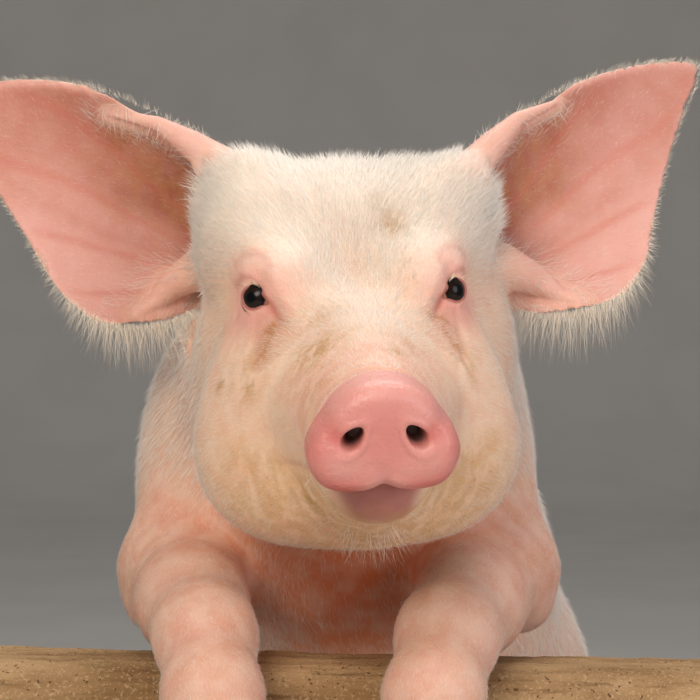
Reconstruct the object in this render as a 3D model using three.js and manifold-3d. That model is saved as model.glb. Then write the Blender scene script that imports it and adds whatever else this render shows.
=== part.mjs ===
// A young white pig, about 25 kg, reared up with both forelegs hung over a short length of rail.
// The rail is the animal's perch: a flat base and two rods carry it. Millimetres, +Z up.
// The pig faces -Y, its own left is at +X, and the origin is the middle of the base's underside.
//
// The flesh is worked out as fields: each gives the distance from a point to the surface of a few
// ovoids and tapered limbs that run smoothly into each other. wrap() draws a closed skin of rings
// round a spine, out to where a field is zero. The wrapped forms are joined into one body, and
// thin cuts part it where the animal's own parts meet.
import * as THREE from "three";
import { mergeVertices } from "three/addons/utils/BufferGeometryUtils.js";
import Module from "manifold-3d";

const wasm = await Module();
wasm.setup();

/* ------------------------------ driving dimensions ------------------------------ */

const SIDES = { right: -1, left: 1 };
const GAP = 0.3; // between pieces that touch
const CUT = 0.4; // thickness of the cuts that part the body
const CRUMB = 100; // volume, in cubic millimetres, of a bit too small to be a part

const BASE = { width: 480, length: 640, height: 18, corner: 40, edge: 3 };
const ROD = { radius: 10, spread: 140 };
const RAIL = { length: 420, depth: 75, height: 70, rounding: 22, top: 480.5, slope: 1.0 };

// Places below are measured from the plane of the eyes; this moves them over the base's middle.
const ORIGIN_SHIFT = new THREE.Vector3(-10, -245, 0);
const RAIL_MIDDLE = { x: 0, y: 45 };

const HEAD = { x: 1.8, z: 648, pitch: 22, yaw: 4.5, roll: -2.2 };
const EYE = { radius: 10.5, apart: 80, inset: 2, up: -1.5 };
const TRUNK = { x: -5, y: 165, z: 560, yaw: -13.5, slimness: 1.07 };
const NAPE = { x: 5, y: 84, z: 619 };
const EAR = { rim: 3, root: 6.5, cup: 30 };
const CLAW = { length: 31, width: 15, height: 23 };
const DEWCLAW = { length: 17, radius: 6 };
const TAIL = { rootRadius: 10, tipRadius: 4 };

/* ------------------------------ solids ------------------------------ */

const vec = (x, y, z) => new THREE.Vector3(x, y, z);
const rad = THREE.MathUtils.degToRad;

// A closed geometry as a solid, its faces turned to point outwards if they don't.
function solidOf(geometry) {
  const bare = geometry.clone();
  bare.deleteAttribute("normal");
  bare.deleteAttribute("uv");
  const merged = mergeVertices(bare, 1e-4);
  const vertProperties = new Float32Array(merged.attributes.position.array);
  const triVerts = new Uint32Array(merged.index.array);
  const build = () => new wasm.Manifold(new wasm.Mesh({ numProp: 3, vertProperties, triVerts }));
  const solid = build();
  if (solid.volume() > 0) return solid;
  triVerts.reverse();
  return build();
}

function geometryOf(solid) {
  const mesh = solid.getMesh();
  const geometry = new THREE.BufferGeometry();
  geometry.setAttribute("position", new THREE.BufferAttribute(mesh.vertProperties, 3));
  geometry.setIndex(new THREE.BufferAttribute(mesh.triVerts, 1));
  geometry.computeVertexNormals();
  return geometry;
}

const joined = (solids) => solids.reduce((whole, solid) => whole.add(solid));

// A box, disc or other geometry, turned by degrees and set at a place, as a solid.
function placedSolid(geometry, place, turn = vec(0, 0, 0)) {
  const euler = new THREE.Euler(rad(turn.x), rad(turn.y), rad(turn.z));
  const matrix = new THREE.Matrix4().makeRotationFromEuler(euler).setPosition(place);
  return solidOf(geometry.clone().applyMatrix4(matrix));
}

// A thin round cut of the given radius, square to a direction.
function roundCut(place, direction, radius) {
  const disc = new THREE.CylinderGeometry(radius, radius, CUT, 20);
  const turn = new THREE.Quaternion().setFromUnitVectors(vec(0, 1, 0), direction.clone().normalize());
  disc.applyQuaternion(turn);
  disc.translate(place.x, place.y, place.z);
  return solidOf(disc);
}

/* ------------------------------ fields ------------------------------ */

// An ovoid: its middle, its three half-sizes, and its turn in degrees about X, Y and Z.
function ovoid(middle, half, turn = vec(0, 0, 0)) {
  const euler = new THREE.Euler(rad(turn.x), rad(turn.y), rad(turn.z));
  const inverse = new THREE.Quaternion().setFromEuler(euler).invert();
  const local = vec(0, 0, 0);
  return (point) => {
    local.copy(point).sub(middle).applyQuaternion(inverse);
    const near = Math.hypot(local.x / half.x, local.y / half.y, local.z / half.z);
    const steep = Math.hypot(local.x / half.x ** 2, local.y / half.y ** 2, local.z / half.z ** 2);
    return steep < 1e-9 ? -Math.min(half.x, half.y, half.z) : (near * (near - 1)) / steep;
  };
}

// A limb of round section from one place to another, with a radius at each.
function limb(from, to, fromRadius, toRadius) {
  const along = to.clone().sub(from);
  const lengthSq = along.lengthSq();
  const local = vec(0, 0, 0);
  return (point) => {
    local.copy(point).sub(from);
    const share = THREE.MathUtils.clamp(local.dot(along) / lengthSq, 0, 1);
    return local.addScaledVector(along, -share).length() - THREE.MathUtils.lerp(fromRadius, toRadius, share);
  };
}

// A chain of limbs through joints, each joint a place and a radius.
function chain(joints) {
  return joints.slice(1).map((joint, i) => limb(joints[i].at, joint.at, joints[i].radius, joint.radius));
}

// Forms that run into each other over the given reach.
function blend(reach, ...forms) {
  return (point) => {
    let whole = forms[0](point);
    for (let i = 1; i < forms.length; i += 1) {
      const next = forms[i](point);
      const share = Math.max(reach - Math.abs(whole - next), 0) / reach;
      whole = Math.min(whole, next) - (share * share * reach) / 4;
    }
    return whole;
  };
}

const both = (form) => [form(SIDES.right), form(SIDES.left)];

/* ------------------------------ wrapping ------------------------------ */

// A closed skin round a spine: rings of points pushed out to the field's surface, with the
// first and last rows fanned out round the spine's ends. No point goes past the reach.
function wrap({ spine, field, rows, sides, capRows = 3, reach = () => 1e3, grow = 0, across }) {
  const skin = new THREE.SphereGeometry(1, sides, rows);
  const place = skin.attributes.position;
  const curve = new THREE.CatmullRomCurve3(spine, false, "centripetal");
  const lateral = across ?? vec(1, 0, 0);
  const point = vec(0, 0, 0);
  for (let row = 0; row <= rows; row += 1) {
    const body = THREE.MathUtils.clamp((row - capRows) / (rows - 2 * capRows), 0, 1);
    const before = Math.max(capRows - row, 0) / capRows;
    const after = Math.max(row - (rows - capRows), 0) / capRows;
    const lean = rad(90 * (after - before));
    const start = curve.getPointAt(body);
    const ahead = curve.getTangentAt(body);
    const side = lateral.clone().addScaledVector(ahead, -lateral.dot(ahead)).normalize();
    const up = ahead.clone().cross(side);
    for (let column = 0; column <= sides; column += 1) {
      const angle = (column / sides) * 2 * Math.PI;
      const out = side.clone().multiplyScalar(Math.cos(angle)).addScaledVector(up, Math.sin(angle));
      out.multiplyScalar(Math.cos(lean)).addScaledVector(ahead, Math.sin(lean));
      let far = 0;
      for (let step = 0; step < 90; step += 1) {
        point.copy(start).addScaledVector(out, far);
        const clear = grow - field(point);
        far += clear;
        if (Math.abs(clear) < 0.005) break;
      }
      far = THREE.MathUtils.clamp(far, 0.5, reach(body));
      point.copy(start).addScaledVector(out, far);
      place.setXYZ(row * (sides + 1) + column, point.x, point.y, point.z);
    }
  }
  return solidOf(skin);
}

/* ------------------------------ frames of the head and trunk ------------------------------ */

// The head's own frame: x to its left, y to its back, z up, from midway between the eyes.
const headFrame = new THREE.Matrix4()
  .makeTranslation(HEAD.x, 0, HEAD.z)
  .multiply(new THREE.Matrix4().makeRotationY(rad(HEAD.roll)))
  .multiply(new THREE.Matrix4().makeRotationZ(rad(HEAD.yaw)))
  .multiply(new THREE.Matrix4().makeRotationX(rad(HEAD.pitch)));

// A place in the head, by how far it is ahead of the eyes, out to a side and up.
const onHead = (ahead, out, up) => vec(out, -ahead, up);

// The trunk's own frame, from the middle of the chest.
const trunkFrame = new THREE.Matrix4()
  .makeTranslation(TRUNK.x, TRUNK.y, TRUNK.z)
  .multiply(new THREE.Matrix4().makeRotationZ(rad(TRUNK.yaw)));
const inTrunk = (x, y, z) => vec(x, y, z).applyMatrix4(trunkFrame);

/* ------------------------------ head ------------------------------ */

const headField = blend(
  19,
  ovoid(onHead(-56, 0, 0), vec(58, 47, 42)), // skull
  ...both((side) => ovoid(onHead(-56, side * 41, 3), vec(28, 36, 38))), // sides of the poll
  limb(onHead(12, 0, -28), onHead(101, 0, -10), 33, 19), // bridge of the snout
  ...both((side) => ovoid(onHead(-9, side * 26, -18), vec(22, 34, 27))), // eye sockets' rims
  ...both((side) => ovoid(onHead(-9, side * 34, 9), vec(15, 17, 10))), // brows
  ...both((side) => limb(onHead(40, side * 18, -38), onHead(102, side * 9, -22), 27, 16)), // upper lips
  ...both((side) => ovoid(onHead(-4, side * 36, -56), vec(33, 48, 44), vec(-20, 0, 0))), // cheeks
  ...both((side) => ovoid(onHead(16, side * 22, -72), vec(50, 44, 39))), // jowls
  ...both((side) => limb(onHead(40, side * 8, -68), onHead(95, side * 5, -46), 26, 14)), // lower jaw
);

// The snout's disc: a flat plate with a rounded rim, narrow at the top, with two full lower lobes.
const DISC = { face: 133, back: 112, rim: 4.5, lean: 3, corners: 20 };
const DISC_OUTLINE = [
  [0, 9.5],
  [12.5, 6.5],
  [23, -5.5],
  [30, -19],
  [24, -32.5],
  [9, -33],
];

function snoutDisc() {
  const right = DISC_OUTLINE.map(([out, up]) => new THREE.Vector2(out, up));
  const left = right.slice(1).reverse().map((corner) => new THREE.Vector2(-corner.x, corner.y));
  const curve = new THREE.SplineCurve([...right, ...left, right[0].clone()]);
  const shrunk = curve.getPoints(DISC.corners).slice(0, DISC.corners);
  const middle = new THREE.Vector2(0, -12);
  shrunk.forEach((corner) => {
    corner.sub(middle);
    corner.setLength(corner.length() - DISC.rim).add(middle);
  });
  const plate = new THREE.ExtrudeGeometry(new THREE.Shape(shrunk), {
    depth: DISC.face - DISC.back - 2 * DISC.rim,
    bevelThickness: DISC.rim,
    bevelSize: DISC.rim,
    bevelSegments: 2,
    steps: 1,
    curveSegments: 1,
  });
  plate.rotateX(Math.PI / 2 - rad(DISC.lean));
  plate.translate(0, -DISC.back - DISC.rim, 0);
  return solidOf(plate.applyMatrix4(headFrame));
}

function wrappedHead(grow = 0) {
  return wrap({
    spine: [
      onHead(-52, 0, -22),
      onHead(-5, 0, -34),
      onHead(45, 0, -34),
      onHead(86, 0, -18),
      onHead(100, 0, -14),
    ],
    field: headField,
    rows: 20,
    sides: 22,
    capRows: 4,
    grow,
  }).transform(headFrame.elements);
}

function nostrils() {
  const pit = { ahead: 132, out: 12.5, up: -10 };
  return joined(
    both((side) => {
      const hole = new THREE.SphereGeometry(1, 8, 5);
      hole.scale(3.6, 12, 4.9);
      hole.rotateY(rad(side * -28));
      hole.rotateZ(rad(side * -14));
      const place = onHead(pit.ahead, side * pit.out, pit.up);
      return solidOf(hole.translate(place.x, place.y, place.z).applyMatrix4(headFrame));
    }),
  );
}

const eyeCentre = (side) => onHead(-EYE.inset, (side * EYE.apart) / 2, EYE.up).applyMatrix4(headFrame);

function eyeball(side, grow = 0) {
  const radius = EYE.radius + grow;
  return placedSolid(new THREE.SphereGeometry(radius, 12, 8), eyeCentre(side), vec(90, 0, 0));
}

/* ------------------------------ neck and trunk ------------------------------ */

const slim = (form) => {
  const local = vec(0, 0, 0);
  const inverse = trunkFrame.clone().invert();
  return (point) => {
    local.copy(point).applyMatrix4(inverse);
    local.x *= TRUNK.slimness;
    return form(local);
  };
};

const nape = vec(NAPE.x, NAPE.y, NAPE.z).applyMatrix4(trunkFrame.clone().invert());
const trunkField = slim(
  blend(
    26,
    limb(nape, vec(0, -10, 6), 84, 96), // neck
    limb(vec(0, 0, 0), vec(0, 70, -60), 93, 104), // chest
    limb(vec(0, 70, -60), vec(0, 190, -160), 104, 115), // belly
    limb(vec(0, 190, -160), vec(0, 296, -232), 115, 94), // loin
    ...both((side) => ovoid(vec(side * 66, -16, 10), vec(39, 56, 80), vec(-17, 0, 0))), // shoulders
    ...both((side) => ovoid(vec(side * 56, 280, -276), vec(50, 76, 98), vec(-26, 0, 0))), // hams
  ),
);

function wrappedTrunk(grow = 0) {
  return wrap({
    spine: [
      vec(NAPE.x, NAPE.y, NAPE.z),
      vec(NAPE.x, NAPE.y, NAPE.z).lerp(inTrunk(0, 20, -18), 0.45),
      inTrunk(0, 20, -18),
      inTrunk(0, 120, -102),
      inTrunk(0, 220, -180),
      inTrunk(0, 305, -240),
    ],
    field: trunkField,
    rows: 20,
    sides: 20,
    capRows: 4,
    grow,
  });
}

/* ------------------------------ legs ------------------------------ */

// Each foreleg hangs over the rail: its joints from the shoulder down, with a radius at each.
const forelegSpread = {
  right: [-60, -84, -74, -65, -59, -57, -56, -56],
  left: [52, 73, 56, 44, 36, 33, 32, 32],
};
const forelegJoints = (name) => {
  const [shoulder, elbow, forearm, edge, carpus, cannon, fetlock, coronet] = forelegSpread[name];
  return [
    { at: vec(shoulder, 146, 556), radius: 34 },
    { at: vec(elbow, 98, 515), radius: 29 },
    { at: vec(forearm, 48, 504.5), radius: 25 },
    { at: vec(edge, 8, 495), radius: 22 },
    { at: vec(carpus, -27, 474), radius: 20.5 },
    { at: vec(cannon, -43, 432), radius: 15.5 },
    { at: vec(fetlock, -49, 400), radius: 17 },
    { at: vec(coronet, -52, 372), radius: 16 },
  ];
};

// Each hind leg stands on the base: its joints in the trunk's frame, with a radius at each.
const hindlegJoints = (side) => [
  { at: inTrunk(side * 50, 292, -262), radius: 46 },
  { at: inTrunk(side * 60, 252, -332), radius: 47 },
  { at: inTrunk(side * 61, 284, -388), radius: 33 },
  { at: inTrunk(side * 58, 322, -430), radius: 22 },
  { at: inTrunk(side * 56, 316, -468), radius: 17 },
  { at: inTrunk(side * 56, 308, -500), radius: 18 },
  { at: inTrunk(side * 56, 296, -519), radius: 16.5 },
];

function wrappedLeg(joints, { rows, sides, slack, merge, bulge = [] }) {
  const own = blend(14, ...chain(joints), ...bulge);
  const field = blend(merge, own, trunkField);
  const curve = new THREE.CatmullRomCurve3(joints.map((joint) => joint.at), false, "centripetal");
  const widths = joints.map((joint) => joint.radius);
  const lengths = joints.map((joint) => nearestShare(curve, joint.at));
  const reach = (share) => slack * valueAlong(lengths, widths, share);
  return wrap({ spine: joints.map((joint) => joint.at), field, rows, sides, capRows: 3, reach });
}

// How far along a curve its nearest point to a place is, from 0 to 1.
function nearestShare(curve, place) {
  const steps = 120;
  let best = 0;
  let least = Infinity;
  for (let step = 0; step <= steps; step += 1) {
    const away = curve.getPointAt(step / steps).distanceTo(place);
    if (away < least) [best, least] = [step / steps, away];
  }
  return best;
}

function valueAlong(places, values, share) {
  const next = places.findIndex((place) => place >= share);
  if (next <= 0) return next < 0 ? values[values.length - 1] : values[0];
  const part = (share - places[next - 1]) / (places[next] - places[next - 1]);
  return THREE.MathUtils.lerp(values[next - 1], values[next], part);
}

const directionAt = (joints, i) => joints[i].at.clone().sub(joints[i - 1].at);

/* ------------------------------ claws ------------------------------ */

// One claw of a foot, toe towards -Y: a rounded horn shoe with a flat sole at z = 0 and a flat top.
function clawGeometry(side) {
  const shoe = new THREE.SphereGeometry(1, 10, 6);
  const place = shoe.attributes.position;
  for (let i = 0; i < place.count; i += 1) {
    const x = place.getX(i);
    const y = place.getY(i);
    const z = place.getZ(i);
    const flat = Math.max(Math.abs(x), Math.abs(y), Math.abs(z)) ** 0.45;
    const height = THREE.MathUtils.clamp((z / flat) * 1.25, -1, 1) * 0.5 + 0.5;
    const toe = -y / flat;
    const taper = 1 - 0.18 * height - 0.22 * Math.max(toe, 0) ** 2;
    const forward = -(toe * (1 - 0.28 * height) * CLAW.length) / 2 + height * 4;
    const inward = -side * Math.max(toe, 0) ** 2 * 1.5;
    place.setXYZ(i, (x / flat) * 0.5 * CLAW.width * taper + inward, forward, height * CLAW.height);
  }
  return shoe;
}

// A foot's frame: the place of its soles, its turn about Z and its tilt, toes down.
const footFrame = (foot) =>
  new THREE.Matrix4()
    .makeTranslation(foot.at.x, foot.at.y, foot.at.z)
    .multiply(new THREE.Matrix4().makeRotationZ(rad(foot.turn)))
    .multiply(new THREE.Matrix4().makeRotationX(rad(foot.tilt)));

const inFoot = (foot, geometry) => solidOf(geometry.applyMatrix4(footFrame(foot)));

function mainClaw(foot, side) {
  return inFoot(foot, clawGeometry(side).translate((side * (CLAW.width + 2 * GAP)) / 2, 0, 0));
}

// What of a foot's flesh lies below the tops of its claws.
function belowClawTops(foot) {
  const block = new THREE.BoxGeometry(90, 110, 60);
  return inFoot(foot, block.translate(0, 0, CLAW.height + GAP - 30));
}

// A dewclaw: a small blunt horn behind the fetlock.
function dewclaw(foot, side, grow = 0) {
  const { radius, length } = DEWCLAW;
  const profile = [
    [0, length * 0.45 + grow],
    [radius * 0.8 + grow, length * 0.3],
    [radius + grow, 0],
    [radius * 0.7 + grow, -length * 0.35],
    [0, -length * 0.55 - grow],
  ].map(([x, y]) => new THREE.Vector2(x, y));
  const horn = new THREE.LatheGeometry(profile.reverse(), 7);
  horn.rotateX(Math.PI / 2 + rad(18));
  horn.rotateY(rad(side * 8));
  return inFoot(foot, horn.translate(side * 10, foot.heel, CLAW.height + foot.fetlock));
}

/* ------------------------------ ears ------------------------------ */

// An ear's outline, from its root at the head along to its tip and across it (front edge first).
const EAR_OUTLINE = [
  [-16, 8],
  [6, 37],
  [50, 42],
  [92, 35],
  [126, 18],
  [145, -3],
  [120, -18],
  [84, -38],
  [48, -57],
  [18, -60],
  [-6, -46],
  [-16, -20],
];

// How far an ear opens on its front and rear sides; a turned ear is narrower, most at its tip.
function earSpread(pose, along, across) {
  if (across <= 0) return pose.rear;
  return THREE.MathUtils.lerp(pose.frontRoot, pose.frontTip, THREE.MathUtils.clamp(along / 130, 0, 1));
}

function earGeometry(side, pose) {
  const [middleAlong, middleAcross] = [48, -8];
  const outline = new THREE.CatmullRomCurve3(
    EAR_OUTLINE.map(([along, across]) => vec(along, across * earSpread(pose, along, across), 0)),
    true,
    "centripetal",
  );
  const ear = new THREE.SphereGeometry(1, 22, 6);
  const place = ear.attributes.position;
  const rim = vec(0, 0, 0);
  for (let i = 0; i < place.count; i += 1) {
    const flat = Math.hypot(place.getX(i), place.getZ(i));
    const turn = (Math.atan2(place.getZ(i), place.getX(i)) / (2 * Math.PI) + 1) % 1;
    const share = Math.min(1, (Math.asin(Math.min(flat, 1)) / (Math.PI / 2)) ** 0.9);
    outline.getPointAt(turn, rim);
    const along = THREE.MathUtils.lerp(middleAlong, rim.x, share);
    const across = THREE.MathUtils.lerp(middleAcross, rim.y, share);
    const depth = earDepth(along, across);
    const leather = THREE.MathUtils.lerp(EAR.root, EAR.rim, THREE.MathUtils.clamp(along / 90, 0, 1));
    const edge = Math.sqrt(Math.max(1 - share ** 6, 0));
    const half = (leather / 2) * Math.sign(place.getY(i)) * edge;
    place.setXYZ(i, side * along, depth + half, across);
  }
  return ear;
}

// How far back the ear's sheet lies: deepest along the middle of the root, flat near the tip.
function earDepth(along, across) {
  const hollow = EAR.cup * THREE.MathUtils.clamp(1 - along / 150, 0, 1) ** 1.4;
  const half = THREE.MathUtils.lerp(46, 30, THREE.MathUtils.clamp(along / 120, 0, 1));
  const aside = (across + 8) / half;
  return hollow * (1 - aside * aside * 0.9);
}

const EAR_FACING = 6;
const EAR_POSE = {
  right: { root: vec(-70, 70, 679), lift: 27, sweep: 2, frontRoot: 1, frontTip: 1, rear: 1 },
  left: { root: vec(73, 70, 679), lift: 39.5, sweep: 20, frontRoot: 1, frontTip: 0.75, rear: 1 },
};

// The thick folds at an ear's root, each place along the ear, in depth and across it, with a radius.
// The front one rises from the crown into the ear's front edge, and the rear one runs from the
// cheek round the bottom of the ear's cup.
const FRONT_FOLD = [
  [-9, -22, 33, 14],
  [9, -2, 34, 11],
  [25, -3, 35.5, 8],
  [48, -4, 36, 4],
];
const REAR_FOLD = [
  [-8, 4, -12, 9],
  [4, 12, -30, 7.5],
  [9, 9, -46, 4.5],
];

function foldSolid(fold, side, across, rows) {
  const joints = fold.map(([along, depth, rise, radius]) => ({ at: vec(side * along, depth, rise), radius }));
  const field = blend(6, ...chain(joints));
  return wrap({ spine: joints.map((joint) => joint.at), field, rows, sides: 6, capRows: 1, across });
}

function earSolid(name) {
  const side = SIDES[name];
  const pose = EAR_POSE[name];
  const frame = new THREE.Matrix4()
    .makeTranslation(pose.root.x, pose.root.y, pose.root.z)
    .multiply(new THREE.Matrix4().makeRotationY(rad(-side * pose.lift)))
    .multiply(new THREE.Matrix4().makeRotationX(rad(EAR_FACING)))
    .multiply(new THREE.Matrix4().makeRotationZ(rad(side * pose.sweep)));
  return joined([
    solidOf(earGeometry(side, pose)),
    foldSolid(FRONT_FOLD, side, vec(0, 0, 1), 6),
    foldSolid(REAR_FOLD, side, vec(1, 0, 0), 5),
  ]).transform(frame.elements);
}

/* ------------------------------ tail ------------------------------ */

function tailSolid() {
  const root = inTrunk(0, 372, -196);
  const hang = [
    [0, -26, -6],
    [2, 6, -10],
    [6, 24, -40],
    [16, 22, -78],
    [6, 14, -104],
    [-16, 20, -112],
    [-20, 34, -96],
    [-6, 44, -92],
  ].map(([x, y, z]) => root.clone().add(vec(x, y, z)));
  const radiusAt = (share) => THREE.MathUtils.lerp(TAIL.rootRadius, TAIL.tipRadius, share);
  const joints = hang.map((at, i) => ({ at, radius: radiusAt(i / (hang.length - 1)) }));
  const field = blend(4, ...chain(joints));
  const reach = (share) => 1.15 * radiusAt(share);
  return wrap({ spine: hang, field, rows: 13, sides: 6, capRows: 2, reach, across: vec(1, 0.4, 0.2) });
}

/* ------------------------------ stand ------------------------------ */

function baseGeometry() {
  const { width, length, height, corner, edge } = BASE;
  const outline = new THREE.Shape();
  const [x, y] = [width / 2 - edge, length / 2 - edge];
  outline.moveTo(corner - x, -y);
  outline.lineTo(x - corner, -y);
  outline.absarc(x - corner, corner - y, corner, -Math.PI / 2, 0);
  outline.absarc(x - corner, y - corner, corner, 0, Math.PI / 2);
  outline.absarc(corner - x, y - corner, corner, Math.PI / 2, Math.PI);
  outline.absarc(corner - x, corner - y, corner, Math.PI, Math.PI * 1.5);
  const slab = new THREE.ExtrudeGeometry(outline, {
    depth: height - 2 * edge,
    bevelThickness: edge,
    bevelSize: edge,
    bevelSegments: 1,
    curveSegments: 3,
  });
  return slab.translate(0, 0, edge);
}

// The rail: a bar with rounded corners, worn a little uneven along its length.
function railSolid() {
  const { length, depth, height, rounding } = RAIL;
  const outline = new THREE.Shape();
  const [y, z] = [depth / 2, height / 2];
  outline.moveTo(rounding - y, -z);
  outline.absarc(y - rounding, rounding - z, rounding, -Math.PI / 2, 0);
  outline.absarc(y - rounding, z - rounding, rounding, 0, Math.PI / 2);
  outline.absarc(rounding - y, z - rounding, rounding, Math.PI / 2, Math.PI);
  outline.absarc(rounding - y, rounding - z, rounding, Math.PI, Math.PI * 1.5);
  const bar = new THREE.ExtrudeGeometry(outline, {
    depth: length,
    steps: 3,
    curveSegments: 3,
    bevelEnabled: false,
  });
  bar.translate(0, 0, -length / 2);
  const place = bar.attributes.position;
  for (let i = 0; i < place.count; i += 1) {
    const along = place.getZ(i);
    const wear = 1 - 0.02 * (1 + Math.sin(along / 31) * Math.cos(along / 17 + place.getX(i) / 20));
    place.setXYZ(i, place.getX(i) * wear, place.getY(i) * wear, along);
  }
  bar.rotateX(Math.PI / 2);
  bar.rotateZ(Math.PI / 2);
  bar.rotateY(rad(RAIL.slope));
  bar.translate(RAIL_MIDDLE.x, RAIL_MIDDLE.y, RAIL.top - height / 2);
  return solidOf(bar);
}

function rodSolid(side, rail) {
  const bottom = BASE.height + GAP;
  const top = RAIL.top - RAIL.height / 2;
  const rod = new THREE.CylinderGeometry(ROD.radius, ROD.radius, top - bottom, 14);
  const place = vec(RAIL_MIDDLE.x + side * ROD.spread, RAIL_MIDDLE.y, (top + bottom) / 2);
  return placedSolid(rod, place, vec(90, 0, 0)).subtract(rail.translate([0, 0, -GAP]));
}

/* ------------------------------ joining and parting ------------------------------ */

const holds = (solid, place) => {
  const speck = placedSolid(new THREE.BoxGeometry(1, 1, 1), place);
  return solid.intersect(speck).volume() > 0.5;
};

const largest = (solid) => solid.decompose().sort((a, b) => b.volume() - a.volume())[0];

// Parts a solid along a cut: the piece that holds the place, and the rest. Crumbs are dropped.
function parted(solid, cut, place) {
  const pieces = solid.subtract(cut).decompose().filter((piece) => piece.volume() > CRUMB);
  const taken = pieces.filter((piece) => holds(piece, place));
  const rest = pieces.filter((piece) => !taken.includes(piece));
  if (taken.length !== 1 || rest.length !== 1) throw new Error(`a cut gives ${pieces.length} pieces`);
  return [taken[0], rest[0]];
}

// A broad flat cut across the animal through a place, leaning by degrees from upright.
function flatCut(place, lean, { width, height }, turn = 0) {
  return placedSolid(new THREE.BoxGeometry(width, CUT, height), place, vec(lean, 0, turn));
}

// A folded cut, as wide as the animal, along a line of places ahead and up, thickened one way.
function foldedCut(line, aside) {
  const width = 320;
  const near = line.map(([ahead, up]) => new THREE.Vector2(ahead, up));
  const far = [...near].reverse().map((corner) => corner.clone().add(aside));
  const sheet = new THREE.ExtrudeGeometry(new THREE.Shape([...near, ...far]), {
    depth: width,
    bevelEnabled: false,
  });
  sheet.translate(0, 0, -width / 2);
  const axes = new THREE.Matrix4().makeBasis(vec(0, -1, 0), vec(0, 0, 1), vec(1, 0, 0));
  return sheet.applyMatrix4(axes);
}

// The mouth: back from the lips to its corner, then down behind the jaw's free part.
function mouthCut() {
  const line = [
    [140, -35.5],
    [104, -37],
    [62, -47],
    [46, -130],
  ];
  return solidOf(foldedCut(line, new THREE.Vector2(CUT, -CUT)).applyMatrix4(headFrame));
}

// The foot of the neck: down in front of the withers, then forward over the arms.
function neckCut() {
  const line = [
    [-252, 722],
    [-124, 560],
    [-30, 537],
  ];
  return solidOf(foldedCut(line, new THREE.Vector2(CUT, CUT)));
}

// The cut behind the snout's disc, above the mouth.
function snoutCut() {
  const size = 110;
  const lowest = -39;
  const behindDisc = 3;
  const sheet = new THREE.BoxGeometry(size, CUT, size);
  sheet.translate(0, -DISC.back + behindDisc, lowest + size / 2);
  return solidOf(sheet.applyMatrix4(headFrame));
}

/* ------------------------------ the pieces ------------------------------ */

const group = new THREE.Group();
const SKIN = {
  head: 0xe9c9a8,
  neck: 0xe0b592,
  trunk: 0xe3bd9c,
  leg: 0xdba98e,
  snout: 0xe2958a,
  ear: 0xe0a090,
};
const HORN = 0x8d7a63;

function addPiece(name, solid, color, roughness = 0.7, metalness = 0) {
  const material = new THREE.MeshStandardMaterial({ color, roughness, metalness });
  const mesh = new THREE.Mesh(geometryOf(solid), material);
  mesh.name = name;
  mesh.position.copy(ORIGIN_SHIFT);
  group.add(mesh);
}

const rail = railSolid();
const railRoom = joined(
  [
    [0, 0, GAP],
    [0, GAP, 0],
    [0, -GAP, 0],
  ].map((shift) => rail.translate(shift)),
);

const foreJoints = { right: forelegJoints("right"), left: forelegJoints("left") };
const hindJoints = { right: hindlegJoints(SIDES.right), left: hindlegJoints(SIDES.left) };

const wrappedLegs = Object.entries(SIDES).flatMap(([name, side]) => {
  const elbowSkin = ovoid(foreJoints[name][1].at.clone().add(vec(side * 13, -8, -19)), vec(10, 12, 9));
  return [
    wrappedLeg(foreJoints[name], { rows: 18, sides: 10, slack: 1.25, merge: 26, bulge: [elbowSkin] }),
    wrappedLeg(hindJoints[name], { rows: 16, sides: 11, slack: 1.7, merge: 40 }),
  ];
});

let body = joined([wrappedTrunk(), wrappedHead(), snoutDisc(), ...wrappedLegs]);
body = body.subtract(nostrils()).subtract(railRoom);
for (const side of Object.values(SIDES)) body = body.subtract(eyeball(side, GAP));

// Feet: where the soles are, how the foot is turned and tilted, and the dewclaws' place on it.
function forefoot(name) {
  const coronet = foreJoints[name][7].at;
  const foot = { at: coronet.clone(), turn: 0, tilt: 28, heel: 35, fetlock: 12 };
  const up = vec(0, 0, CLAW.height - 2).applyMatrix4(footFrame({ ...foot, at: vec(0, 0, 0) }));
  foot.at.sub(up).add(vec(0, -3, 0));
  return foot;
}

function hindfoot(name) {
  const { x, y } = hindJoints[name][6].at;
  return { at: vec(x, y - 2, BASE.height + GAP), turn: TRUNK.yaw, tilt: 0, heel: 29, fetlock: 13 };
}

function addFoot(legName, flesh, foot) {
  let trimmed = flesh.subtract(belowClawTops(foot));
  for (const [name, side] of Object.entries(SIDES)) {
    trimmed = trimmed.subtract(dewclaw(foot, side, GAP));
    addPiece(`${legName}_claw_${name}`, mainClaw(foot, side), HORN, 0.5);
    addPiece(`${legName}_dewclaw_${name}`, dewclaw(foot, side), HORN, 0.5);
  }
  addPiece(`${legName}_foot`, largest(trimmed), SKIN.leg);
}

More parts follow.
